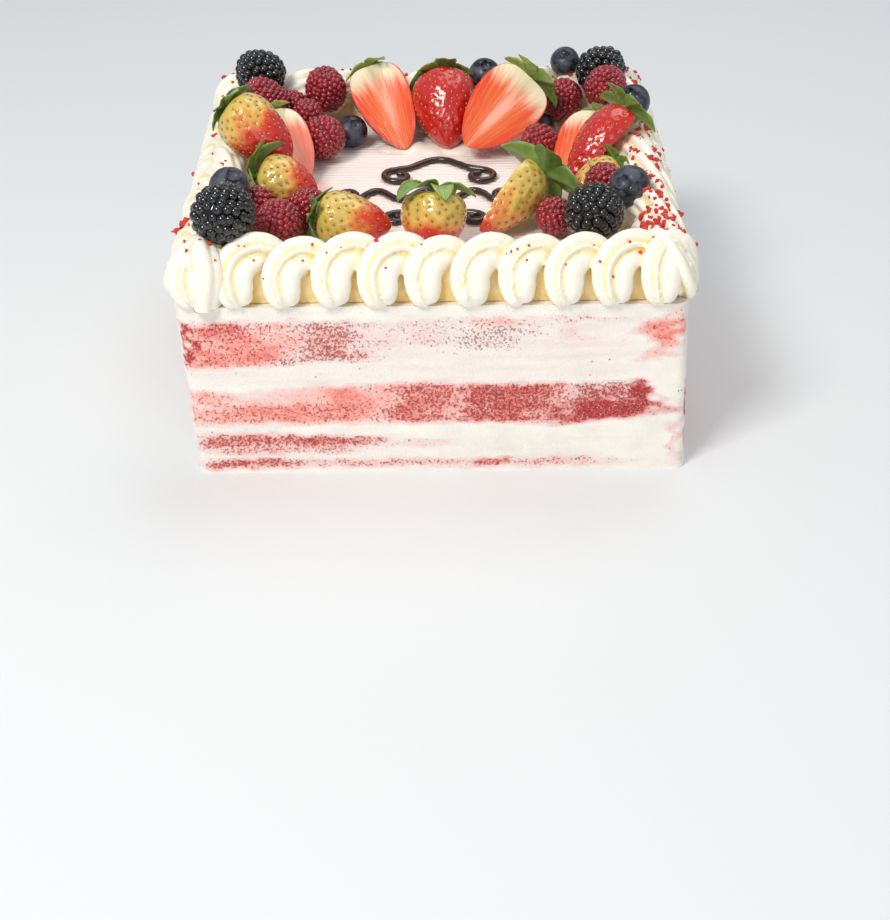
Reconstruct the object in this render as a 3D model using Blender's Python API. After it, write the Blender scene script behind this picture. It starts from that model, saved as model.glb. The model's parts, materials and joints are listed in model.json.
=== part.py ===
"""Square layer cake, thinly coated, with a piped cream border and a ring of fruit on top.

The origin is the middle of the cake's base. +X is the right of the front side, +Y points away
from the front, and +Z is up. All lengths are in metres.
"""

import math
import random

import bmesh
import bpy
from mathutils import Matrix, Vector, noise

MM = 0.001
GAP = 0.0003

# The cake: its side, its height to the coat's top, and how far foot and top lean sideways
SIDE = 0.200
HEIGHT = 0.0768
CORNER_RADIUS = 0.0045
LEAN_FOOT = 0.0020
LEAN_TOP = -0.0014

# Where each layer ends, from the base up
LAYERS = (
    ("sponge_bottom", 0.0163, "sponge"),
    ("filling_lower", 0.0205, "cream"),
    ("sponge_middle", 0.0396, "sponge"),
    ("filling_upper", 0.0475, "cream"),
    ("sponge_top", 0.0684, "sponge"),
    ("top_cream", HEIGHT, "cream"),
)
LAYER_WAVE = 0.0004
SIDE_WAVE = 0.0005
SPONGE_BULGE = 0.0004

# The piped border: one shell is a fluted tube bent into an arch that leans inwards
SHELLS_PER_SIDE = 11
SHELL_PITCH = 0.0181
ARCH_RADIUS = 0.0058
ARCH_LEG = 0.0138
ARCH_TILT = math.radians(11)
ARCH_FOOT = 0.0038
TUBE_IN_ARCH = 0.0054
TUBE_ACROSS = 0.0120
TAIL_TUCK = 0.0036
# Angle round the tube in degrees, 90 facing outwards, and how far the flute stands out there
TUBE_SECTION = ((0, 1.0), (48, 1.14), (90, 0.86), (132, 1.14), (180, 0.96), (270, 0.62))
BORDER_SEED = 11

# The scrollwork piped on the open middle of the top
STROKE_RADIUS = 0.0012
STROKE_SIDES = 0
WAVES = 2.5
WAVE_STEPS = 20

# Fruit
BERRY_BUMP = 0.07
LEAF_THICKNESS = 0.0008
FLESH_SWELL = 1.66

# Name, middle, width, length and the way the far end points. Places and sizes are in millimetres
BRAMBLES = (
    ("bramble_1", (-80.8, 78.8, 105.0), 21, 23, (-1.0, 0.1, 0.3)),
    ("bramble_2", (78.2, 81.0, 104.4), 21, 23, (0.9, 0.2, 0.3)),
    ("bramble_3", (64.0, -59.0, 96.4), 24, 27, (-0.2, -0.8, 0.4)),
    ("bramble_4", (-81.6, -82.0, 107.6), 24, 26, (-0.3, -0.8, 0.2)),
)
RASPBERRIES = (
    ("raspberry_1", (-77.8, 59.6, 99.6), 19, 21, (-0.8, 0.1, 0.6)),
    ("raspberry_2", (-67.6, 72.4, 89.2), 18, 20, (0.7, -0.4, 0.5)),
    ("raspberry_3", (-50.4, 75.0, 98.4), 19, 22, (-0.1, -0.5, 0.9)),
    ("raspberry_4", (-58.4, 57.2, 92.4), 15, 16, (0.2, -0.3, 0.9)),
    ("raspberry_5", (-50.2, 41.8, 88.0), 20, 20, (0.1, -0.9, 0.4)),
    ("raspberry_6", (60.4, 75.0, 92.0), 19, 21, (0.0, -0.6, 0.8)),
    ("raspberry_7", (78.6, 59.8, 104.0), 19, 21, (0.2, -0.7, 0.7)),
    ("raspberry_8", (47.6, 36.4, 86.8), 17, 19, (-0.3, -0.7, 0.6)),
    ("raspberry_9", (70.4, -29.8, 96.4), 16, 17, (0.0, -0.5, 0.9)),
    ("raspberry_10", (49.8, -40.0, 86.0), 16, 17, (-0.3, -0.6, 0.7)),
    ("raspberry_11", (-63.4, -54.8, 89.8), 21, 22, (0.1, -0.6, 0.8)),
    ("raspberry_12", (-73.2, -36.2, 88.8), 18.6, 20, (-0.4, -0.5, 0.8)),
    ("raspberry_13", (-53.4, -34.4, 87.2), 18, 20, (0.4, -0.5, 0.8)),
)
BLUEBERRIES = (
    ("blueberry_1", (-38.4, 58.0, 84.0), 15, (0.3, -0.6, 0.7)),
    ("blueberry_2", (23.8, 83.0, 101.6), 15, (0.1, -0.5, 0.8)),
    ("blueberry_3", (62.2, 91.0, 104.4), 14, (-0.2, -0.5, 0.8)),
    ("blueberry_4", (88.4, 31.6, 107.6), 15, (-0.3, -0.6, 0.7)),
    ("blueberry_5", (49.0, 59.4, 84.2), 15, (-0.5, -0.5, 0.7)),
    ("blueberry_6", (79.8, -43.4, 100.6), 17, (-0.4, -0.7, 0.5)),
    ("blueberry_7", (-83.4, -44.0, 101.4), 17, (0.3, -0.4, 0.9)),
    ("blueberry_8", (-86.8, 44.6, 103.0), 15, (0.2, -0.3, 0.9)),
)

# Name, tip, crown, width, finish, way the cut face looks, leaves, their length, droop and spin
STRAWBERRIES = (
    ("strawberry_1", (-12.8, 49.0, 79.2), (-29.8, 77.6, 108.4), 28, "strawberry_cut",
     (0.2, -0.8, 0.6), 4, 10, 0.5, 0.4),
    ("strawberry_2", (7.0, 48.0, 80.0), (4.0, 79.0, 102.0), 31, "strawberry",
     None, 6, 12, 0.3, 0.0),
    ("strawberry_3", (14.2, 37.2, 85.2), (44.2, 58.2, 109.2), 33, "strawberry_cut",
     (0.1, -0.8, 0.6), 5, 12, 0.1, 0.6),
    ("strawberry_4", (56.0, 9.0, 80.4), (73.0, 42.0, 99.4), 27, "strawberry_cut",
     (-0.5, -0.7, 0.5), 4, 8, 0.4, 0.2),
    ("strawberry_5", (58.2, -3.4, 84.8), (85.2, 18.6, 106.0), 26, "strawberry",
     (0.7, -0.1, -0.7), 5, 13, 0.1, 0.9),
    ("strawberry_6", (57.0, -23.2, 86.8), (76.8, -7.2, 94.0), 16, "strawberry_pale",
     None, 4, 8, 0.3, 0.3),
    ("strawberry_7", (18.4, -48.4, 84.0), (41.0, -18.4, 96.0), 26, "strawberry_pale",
     (-0.8, 0.5, 0.2), 5, 15, 0.4, 0.5),
    ("strawberry_8", (-1.0, -60.2, 77.8), (0.4, -47.2, 100.2), 28, "strawberry_pale",
     None, 5, 13, 0.6, 0.1),
    ("strawberry_9", (-17.4, -54.2, 88.8), (-47.4, -51.2, 91.8), 24, "strawberry_pale",
     None, 5, 11, 0.5, 0.2),
    ("strawberry_10", (-49.2, -18.8, 88.2), (-74.2, -13.8, 93.4), 24, "strawberry_pale",
     None, 5, 14, 0.5, 0.7),
    ("strawberry_11", (-61.6, 1.0, 94.6), (-88.2, 15.0, 112.6), 27, "strawberry",
     None, 6, 10, 0.1, 0.5),
    ("strawberry_12", (-56.2, 9.2, 81.0), (-71.8, 38.2, 103.0), 25, "strawberry_cut",
     (0.5, -0.8, 0.4), 4, 9, 0.3, 0.5),
)


def linear(red, green, blue):
    """A colour given in 0 to 255 screen values, as the renderer's own linear values."""
    screen = [value / 255 for value in (red, green, blue)]
    return [value / 12.92 if value < 0.04045 else ((value + 0.055) / 1.055) ** 2.4 for value in screen]


FINISHES = {
    "sponge": (linear(205, 70, 78), 0.85),
    "cream": (linear(250, 243, 228), 0.5),
    "chocolate": (linear(48, 26, 20), 0.3),
    "strawberry": (linear(214, 52, 34), 0.3),
    "strawberry_cut": (linear(243, 118, 76), 0.4),
    "strawberry_pale": (linear(214, 176, 62), 0.3),
    "raspberry": (linear(150, 22, 44), 0.45),
    "leaf": (linear(96, 134, 58), 0.45),
    "bramble": (linear(22, 20, 26), 0.3),
    "blueberry": (linear(44, 52, 78), 0.5),
}


def material(finish):
    """The named finish as a material with its colour and roughness."""
    made = bpy.data.materials.get(finish)
    if made:
        return made
    colour, roughness = FINISHES[finish]
    made = bpy.data.materials.new(finish)
    made.use_nodes = True
    shader = made.node_tree.nodes["Principled BSDF"]
    shader.inputs["Base Color"].default_value = (*colour, 1)
    shader.inputs["Roughness"].default_value = roughness
    shader.inputs["Metallic"].default_value = 0
    made.diffuse_color = (*colour, 1)
    return made


def mesh_object(name, shape, *finishes):
    """A new object that holds the bmesh, which is freed."""
    bmesh.ops.recalc_face_normals(shape, faces=shape.faces)
    mesh = bpy.data.meshes.new(name)
    shape.to_mesh(mesh)
    shape.free()
    made = bpy.data.objects.new(name, mesh)
    bpy.context.scene.collection.objects.link(made)
    for finish in finishes:
        mesh.materials.append(material(finish))
    return made


def loft(shape, rings, top=None, bottom=None):
    """Join equal rings of points by quads and close both ends, each to a point if one is given."""
    loops = [[shape.verts.new(point) for point in ring] for ring in rings]
    count = len(rings[0])
    for below, above in zip(loops, loops[1:]):
        for step in range(count):
            after = (step + 1) % count
            shape.faces.new((below[step], below[after], above[after], above[step]))
    for loop, point in ((loops[0], bottom), (loops[-1], top)):
        if point is None:
            shape.faces.new(loop)
            continue
        tip = shape.verts.new(point)
        for step in range(count):
            shape.faces.new((loop[step], loop[(step + 1) % count], tip))
    return shape


def fuse(target, pieces, operation="UNION", solver="EXACT"):
    """Join the pieces to the target with one Boolean, and remove the pieces."""
    group = bpy.data.collections.new(target.name + "_pieces")
    for piece in pieces:
        for holder in piece.users_collection:
            holder.objects.unlink(piece)
        group.objects.link(piece)
    bpy.context.scene.collection.children.link(group)
    step = target.modifiers.new(operation.lower(), "BOOLEAN")
    step.operation = operation
    step.operand_type = "COLLECTION"
    step.collection = group
    step.solver = solver
    apply_modifiers(target)
    for piece in pieces:
        bpy.data.objects.remove(piece)
    bpy.data.collections.remove(group)
    return target


def apply_modifiers(target):
    """Replace the object's mesh by what its modifiers make of it."""
    bpy.context.view_layer.update()
    seen = target.evaluated_get(bpy.context.evaluated_depsgraph_get())
    mesh = bpy.data.meshes.new_from_object(seen)
    target.modifiers.clear()
    target.data = mesh
    keep_largest(target)


def keep_largest(target):
    """Drop loose scraps that a Boolean left, and the faces without area."""
    shape = bmesh.new()
    shape.from_mesh(target.data)
    bmesh.ops.remove_doubles(shape, verts=shape.verts, dist=0.00002)
    bmesh.ops.dissolve_degenerate(shape, dist=0.00001, edges=shape.edges)
    left = set(shape.verts)
    islands = []
    while left:
        island = {left.pop()}
        edge = list(island)
        while edge:
            near = [link.other_vert(vert) for vert in edge for link in vert.link_edges]
            edge = [vert for vert in set(near) if vert in left]
            left.difference_update(edge)
            island.update(edge)
        islands.append(island)
    islands.sort(key=len)
    for island in islands[:-1]:
        bmesh.ops.delete(shape, geom=list(island), context="VERTS")
    bmesh.ops.triangulate(shape, faces=shape.faces)
    shape.to_mesh(target.data)
    shape.free()


def smooth(target, angle=40):
    """Shade round surfaces smooth and keep the edges sharper than the angle."""
    target.data.shade_smooth()
    target.data.set_sharp_from_angle(angle=math.radians(angle))
    return target


def lean(height):
    """Sideways shift of the cake at a height above the base."""
    return LEAN_FOOT + (LEAN_TOP - LEAN_FOOT) * height / HEIGHT


def outline(height, bulge=0.0):
    """Points round the cake at one height: an uneven square with rounded corners."""
    middle = SIDE / 2 - CORNER_RADIUS
    arcs = []
    for corner in range(4):
        facing = math.radians(45 + 90 * corner)
        centre = Vector((math.copysign(middle, math.cos(facing)), math.copysign(middle, math.sin(facing))))
        arcs.append([
            centre + CORNER_RADIUS * Vector((math.cos(facing + turn), math.sin(facing + turn)))
            for turn in (math.radians(angle) for angle in (-45, -15, 15, 45))
        ])
    points = []
    for corner, arc in enumerate(arcs):
        points += arc
        start = arc[-1]
        end = arcs[(corner + 1) % 4][0]
        points += [start.lerp(end, step / 4) for step in range(1, 4)]
    ring = []
    for point in points:
        out = point.normalized()
        wave = SIDE_WAVE * noise.noise(Vector((point.x * 28, point.y * 28, height * 60)))
        moved = point + out * (wave + bulge)
        ring.append((moved.x + lean(height), moved.y))
    return ring


def layer_height(level, x, y):
    """Height of a joint between two layers at a place: a slow wave, but none at base and top."""
    if level in (0.0, HEIGHT):
        return level
    return level + LAYER_WAVE * (math.sin(x * 41 + level * 300) + math.sin(y * 37 + level * 190))


def cake_layer(name, low, high, finish):
    """One layer of the cake, right through from side to side."""
    lift = 0.0 if low == 0.0 else GAP / 2
    drop = 0.0 if high == HEIGHT else GAP / 2
    bulge = SPONGE_BULGE if finish == "sponge" else -SPONGE_BULGE / 2
    rings = [
        [(x, y, layer_height(low, x, y) + lift) for x, y in outline(low)],
        [(x, y, low + (high - low) * 0.5) for x, y in outline((low + high) / 2, bulge)],
        [(x, y, layer_height(high, x, y) - drop) for x, y in outline(high)],
    ]
    shape = bmesh.new()
    middle_low = (lean(low), 0, layer_height(low, lean(low), 0) + lift)
    middle_high = (lean(high), 0, layer_height(high, lean(high), 0) - drop)
    loft(shape, rings, top=middle_high, bottom=middle_low)
    return mesh_object(name, shape, finish)


def arch_stations():
    """Places along one shell: position in the arch's plane, outward turn, scales and how far in."""
    leg = [
        (-ARCH_RADIUS - 0.0010, -0.0060, 180, 0.78, 0.66, 0.0),
        (-ARCH_RADIUS - 0.0010, 0.0080, 176, 1.06, 1.04, 0.0),
    ]
    bend = []
    for turn, along, across in ((140, 1.16, 1.02), (85, 1.12, 0.94), (35, 0.98, 0.84)):
        angle = math.radians(turn)
        place = (ARCH_RADIUS * math.cos(angle), ARCH_LEG + ARCH_RADIUS * math.sin(angle))
        bend.append((*place, turn, along, across, (180 - turn) / 180))
    tail = [(ARCH_RADIUS * 0.90, -0.0050, 0, 0.60, 0.64, 0.9)]
    return leg + bend + tail


def shell(middle, size, tilt):
    """One piped shell standing on the border's line, in the border's own axes.

    X runs along the border, Y points into the cake and Z is up from the coat's top.
    """
    rise = Vector((0, math.sin(tilt), math.cos(tilt)))
    along = Vector((1, 0, 0))
    out = along.cross(rise)
    foot = Vector((middle, ARCH_FOOT, 0))
    rings = []
    for s, h, turn, in_arch, across, tuck in arch_stations():
        angle = math.radians(turn)
        radial = along * math.cos(angle) + rise * math.sin(angle)
        centre = foot + (along * s + rise * h - out * TAIL_TUCK * tuck) * size
        ring = []
        for degrees, swell in TUBE_SECTION:
            side_angle = math.radians(degrees)
            reach_in = TUBE_IN_ARCH * in_arch * swell * math.cos(side_angle)
            reach_out = TUBE_ACROSS * across * swell * math.sin(side_angle)
            ring.append(centre + (radial * reach_in + out * reach_out) * size)
        rings.append(ring)
    shape = bmesh.new()
    loft(shape, rings)
    return mesh_object("shell", shape)


def border_core(reach):
    """The cream that the shells of one side share behind and below their arches."""
    section = ((0.0010, -0.004), (0.0265, -0.004), (0.0260, 0.0010), (0.0185, 0.0060), (0.0135, 0.0120),
               (0.0100, 0.0180), (0.0050, 0.0150), (0.0015, 0.0040))
    rings = [[(x, y, z) for y, z in section] for x in (-reach, reach)]
    shape = bmesh.new()
    loft(shape, rings)
    return shape


def mitre_block():
    """The room of one side of the border: above the coat and between the two mitred corners."""
    edge = SIDE / 2 - GAP * 0.75
    corners = []
    for depth in (-0.014, 0.030):
        corners.append((-(edge - depth), depth))
        corners.append((edge - depth, depth))
    plan = (corners[0], corners[1], corners[3], corners[2])
    rings = [[(x, y, z) for x, y in plan] for z in (GAP, 0.045)]
    shape = bmesh.new()
    loft(shape, rings)
    return mesh_object("mitre", shape)


def border_row(name, quarter_turns):
    """One side of the piped border, fused into one piece and turned to its side of the cake."""
    draw = random.Random(BORDER_SEED + quarter_turns)
    row = mesh_object(name, border_core(SIDE / 2 + 0.002), "cream")
    shells = []
    first = -SHELL_PITCH * (SHELLS_PER_SIDE - 1) / 2
    for index in range(SHELLS_PER_SIDE):
        middle = first + index * SHELL_PITCH + draw.uniform(-0.0006, 0.0006)
        size = draw.uniform(0.96, 1.03)
        tilt = ARCH_TILT + math.radians(draw.uniform(-3, 3))
        shells.append(shell(middle, size, tilt))
    fuse(row, shells)
    fuse(row, [mitre_block()], "INTERSECT")
    turn = Matrix.Rotation(math.radians(90 * quarter_turns), 4, "Z")
    row.data.transform(Matrix.Translation((LEAN_TOP, 0, HEIGHT)) @ turn @ Matrix.Translation((0, -SIDE / 2, 0)))
    return smooth(row, 50)


def stroke(name, route):
    """A piped line of chocolate along a route on the cake's top."""
    curve = bpy.data.curves.new(name, "CURVE")
    curve.dimensions = "3D"
    curve.bevel_depth = STROKE_RADIUS
    curve.bevel_resolution = STROKE_SIDES
    curve.use_fill_caps = True
    line = curve.splines.new("POLY")
    line.points.add(len(route) - 1)
    for point, (x, y) in zip(line.points, route):
        point.co = (x, y, HEIGHT + GAP + STROKE_RADIUS, 1)
    made = bpy.data.objects.new(name, curve)
    bpy.context.scene.collection.objects.link(made)
    curve.materials.append(material("chocolate"))
    return made


def spiral(centre, start_angle, turns, wide, narrow, steps, mirror=1):
    """Points of a curl from its outer end to its inner end."""
    points = []
    for step in range(steps + 1):
        part = step / steps
        angle = start_angle + mirror * 2 * math.pi * turns * part
        reach = wide + (narrow - wide) * part ** 0.8
        points.append((centre[0] + reach * math.cos(angle), centre[1] + reach * math.sin(angle)))
    return points


def bracket_scroll(middle_x, middle_y, width, height, up=1):
    """Two mirrored curls joined by an arch, as one line."""
    curl = height * 0.30
    right_centre = (width / 2 - curl, 0)
    right = spiral(right_centre, math.radians(90), 1.05, curl, curl * 0.34, 12, -1)
    arch = []
    for step in range(1, 8):
        part = step / 8
        x = right_centre[0] * (2 * part - 1)
        arch.append((x, curl + (height * 0.42) * math.sin(math.pi * part) ** 2))
    left = [(-x, y) for x, y in right]
    route = list(reversed(left)) + arch + right
    return [(middle_x + x, middle_y + up * y) for x, y in route]


def wave_scroll(middle_x, middle_y, width, height):
    """A running wave, mirrored about its middle, that ends in a curl on either side."""
    curl = height * 0.34
    swing = height * 0.23
    run = width - 4 * curl
    wave = []
    for step in range(1, WAVE_STEPS):
        part = step / WAVE_STEPS
        x = run * (part - 0.5)
        wave.append((x, swing * math.cos(2 * math.pi * WAVES * (part - 0.5))))
    right = spiral((run / 2 + curl, 0), math.radians(180), 1.15, curl, curl * 0.34, 12, 1)
    left = [(-x, y) for x, y in right]
    route = list(reversed(left)) + wave + right
    return [(middle_x + x, middle_y + y) for x, y in route]


def frame_from(axis, face=None):
    """A rotation that takes +Z to the axis and +X as near to the face direction as it goes."""
    up = axis.normalized()
    side = Vector(face) if face else Vector((0.3, -0.8, 0.5))
    side = side - up * side.dot(up)
    if side.length < 0.001:
        side = up.orthogonal()
    side.normalize()
    other = up.cross(side)
    return Matrix((side, other, up)).transposed().to_4x4()


def place(target, centre, axis, face=None):
    """Set the object down at a centre in millimetres, turned to its axis."""
    target.matrix_world = Matrix.Translation(Vector(centre) * MM) @ frame_from(Vector(axis), face)
    return target


def bumpy_berry(name, finish, across, long, around, rows):
    """A berry of many beads: an egg whose points stand out and in by turns."""
    rings = []
    for row in range(1, rows):
        part = row / rows
        height = -long / 2 * math.cos(math.pi * part)
        girth = across / 2 * math.sin(math.pi * part) ** 0.72 * (1.06 - 0.14 * part)
        ring = []
        for step in range(around):
            swell = 1 + BERRY_BUMP * (1 if (step + row) % 2 else -1)
            angle = 2 * math.pi * step / around
            ring.append((girth * swell * math.cos(angle), girth * swell * math.sin(angle), height))
        rings.append(ring)
    shape = bmesh.new()
    loft(shape, rings, top=(0, 0, long / 2), bottom=(0, 0, -long / 2))
    return smooth(mesh_object(name, shape, finish), 80)


def blueberry(name, across):
    """A flattened ball with a raised crown round a small dent."""
    profile = ((0.55, -0.38), (0.98, -0.12), (0.92, 0.22), (0.46, 0.44), (0.30, 0.50))
    around = 10
    rings = []
    for reach, height in profile:
        rings.append([
            (across / 2 * reach * math.cos(2 * math.pi * step / around),
             across / 2 * reach * math.sin(2 * math.pi * step / around), across * height)
            for step in range(around)
        ])
    shape = bmesh.new()
    loft(shape, rings, top=(0, 0, across * 0.40), bottom=(0, 0, -across * 0.47))
    return smooth(mesh_object(name, shape, "blueberry"), 60)


def calyx(finish, across, leaves, reach, droop, draw):
    """The green star on a strawberry: pointed wavy leaves that share one thin hub."""
    hub = across * 0.12
    top = []
    for leaf in range(leaves):
        angle = 2 * math.pi * leaf / leaves + draw.uniform(-0.08, 0.08)
        half = math.pi / leaves
        length = reach * draw.uniform(0.8, 1.15)
        fall = droop * draw.uniform(0.5, 1.4)
        twist = draw.uniform(-0.25, 0.25)
        for turn, part, sink in ((-half * 0.75, 0.45, 0.0), (twist * 0.5, 1.0, 1.0), (half * 0.75, 0.45, 0.0)):
            far = hub + length * part
            height = across * 0.10 * (1 - part) + length * (0.16 - fall * part ** 2 * sink)
            top.append((far * math.cos(angle + turn), far * math.sin(angle + turn), height))
        notch = angle + half
        top.append((hub * 1.6 * math.cos(notch), hub * 1.6 * math.sin(notch), 0.0))
    shape = bmesh.new()
    faces = []
    for lift in (0.0, LEAF_THICKNESS):
        loop = [shape.verts.new((x, y, z + lift)) for x, y, z in top]
        centre = shape.verts.new((0, 0, across * 0.02 + lift))
        faces.append((loop, centre))
    (low, low_centre), (high, high_centre) = faces
    count = len(top)
    for leaf in range(leaves):
        start = leaf * 4
        before = (start - 1) % count
        ring = [before, start, start + 1, start + 2, start + 3]
        for loop, centre in faces:
            shape.faces.new((centre, loop[ring[0]], loop[ring[1]]))
            shape.faces.new((centre, loop[ring[1]], loop[ring[3]]))
            shape.faces.new((centre, loop[ring[3]], loop[ring[4]]))
            shape.faces.new((loop[ring[1]], loop[ring[2]], loop[ring[3]]))
    for step in range(count):
        after = (step + 1) % count
        shape.faces.new((low[step], low[after], high[after], high[step]))
    for face in shape.faces:
        face.material_index = 1
    return mesh_object("calyx", shape, finish, "leaf")


def strawberry(name, tip, crown, across, finish, face, leaves, reach, droop, spin, seed):
    """A strawberry from its tip to its crown, whole or cut in half, with its leaves fused on.

    Places and sizes are in millimetres. The cut face of a half looks towards `face`.
    """
    draw = random.Random(seed)
    long = (Vector(crown) - Vector(tip)).length * MM
    across = across * MM
    around = 12
    rings = []
    for part in (0.07, 0.22, 0.42, 0.62, 0.80, 0.93):
        girth = across / 2 * FLESH_SWELL * part ** 0.62 * (1 - part) ** 0.26
        ring = []
        for step in range(around):
            angle = 2 * math.pi * step / around
            uneven = 1 + 0.05 * noise.noise(Vector((math.cos(angle), math.sin(angle), part * 3 + seed)))
            ring.append((girth * uneven * math.cos(angle), girth * uneven * math.sin(angle), long * part))
        rings.append(ring)
    shape = bmesh.new()
    loft(shape, rings, top=(0, 0, long), bottom=(0, 0, 0))
    if face:
        cut = bmesh.ops.bisect_plane(shape, geom=shape.verts[:] + shape.edges[:] + shape.faces[:],
                                     plane_co=(0, 0, 0), plane_no=(1, 0, 0), clear_outer=True)
        rim = [item for item in cut["geom_cut"] if isinstance(item, bmesh.types.BMEdge)]
        bmesh.ops.contextual_create(shape, geom=rim)
    body = mesh_object(name, shape, finish, "leaf")
    star = calyx(finish, across, leaves, reach * MM, droop, draw)
    shift = -across * 0.16 if face else 0.0
    star.data.transform(Matrix.Translation((shift, 0, long * 0.955)) @ Matrix.Rotation(spin, 4, "Z"))
    fuse(body, [star], solver="MANIFOLD")
    axis = Vector(crown) - Vector(tip)
    body.matrix_world = Matrix.Translation(Vector(tip) * MM) @ frame_from(axis, face)
    return smooth(body, 50)


def build():
    """Make every piece of the cake."""
    low = 0.0
    for name, high, finish in LAYERS:
        cake_layer(name, low, high, finish)
        low = high
    for quarter, name in enumerate(("shell_row_front", "shell_row_right", "shell_row_back", "shell_row_left")):
        border_row(name, quarter)
    stroke("scroll_far", bracket_scroll(0.002, 0.020, 0.052, 0.026))
    stroke("scroll_middle", wave_scroll(-0.004, 0.000, 0.080, 0.020))
    stroke("scroll_near", bracket_scroll(0.000, -0.024, 0.044, 0.018))
    for name, centre, across, long, axis in BRAMBLES:
        place(bumpy_berry(name, "bramble", across * MM, long * MM, 12, 8), centre, axis)
    for name, centre, across, long, axis in RASPBERRIES:
        place(bumpy_berry(name, "raspberry", across * MM, long * MM, 10, 7), centre, axis)
    for name, centre, across, axis in BLUEBERRIES:
        place(blueberry(name, across * MM), centre, axis)
    for index, (name, tip, crown, across, finish, face, leaves, reach, droop, spin) in enumerate(STRAWBERRIES):
        strawberry(name, tip, crown, across, finish, face, leaves, reach, droop, spin, index)


for old in list(bpy.data.objects):
    bpy.data.objects.remove(old)
build()
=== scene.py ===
"""Looks of a square red sponge cake with a piped cream border and a ring of fruit.

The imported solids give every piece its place. Lengths are in metres, and the tables of fruit, like
the constants in millimetres, say so where they stand.
"""

import json
import math
import random

import bmesh
import bpy
import numpy as np
from mathutils import Matrix, Vector, noise
from mathutils.bvhtree import BVHTree
from mathutils.kdtree import KDTree


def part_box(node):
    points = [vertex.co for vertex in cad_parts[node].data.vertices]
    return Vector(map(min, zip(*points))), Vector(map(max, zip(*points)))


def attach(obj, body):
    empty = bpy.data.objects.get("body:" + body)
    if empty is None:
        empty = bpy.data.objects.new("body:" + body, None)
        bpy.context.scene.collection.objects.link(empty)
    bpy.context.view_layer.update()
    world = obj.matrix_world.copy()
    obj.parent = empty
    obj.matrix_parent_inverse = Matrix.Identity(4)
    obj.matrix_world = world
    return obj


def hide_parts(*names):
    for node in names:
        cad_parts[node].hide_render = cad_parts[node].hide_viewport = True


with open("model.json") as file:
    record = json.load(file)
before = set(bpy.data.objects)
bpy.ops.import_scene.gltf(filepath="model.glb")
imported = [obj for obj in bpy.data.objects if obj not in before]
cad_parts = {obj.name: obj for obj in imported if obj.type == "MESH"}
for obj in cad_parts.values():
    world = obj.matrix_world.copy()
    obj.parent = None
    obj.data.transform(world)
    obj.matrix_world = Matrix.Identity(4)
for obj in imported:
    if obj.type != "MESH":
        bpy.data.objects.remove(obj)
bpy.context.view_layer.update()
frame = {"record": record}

MM = 0.001
SEED = 7

# The cake, as in the solids
SIDE = 0.200
CORNER_RADIUS = 0.0045
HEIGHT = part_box("top_cream")[1].z
LEAN_FOOT = 0.0020
LEAN_TOP = -0.0014
LAYERS = (
    ("sponge_bottom", 0.0163, "sponge"),
    ("filling_lower", 0.0205, "cream"),
    ("sponge_middle", 0.0396, "sponge"),
    ("filling_upper", 0.0475, "cream"),
    ("sponge_top", 0.0684, "sponge"),
    ("top_cream", HEIGHT, "cream"),
)
SIDE_POINTS = 720
LAYER_STEP = 0.0011
LAYER_WAVE = 0.0004
SMEAR_DEPTH = 0.0003
PIT_DEPTH = 0.00035

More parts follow.
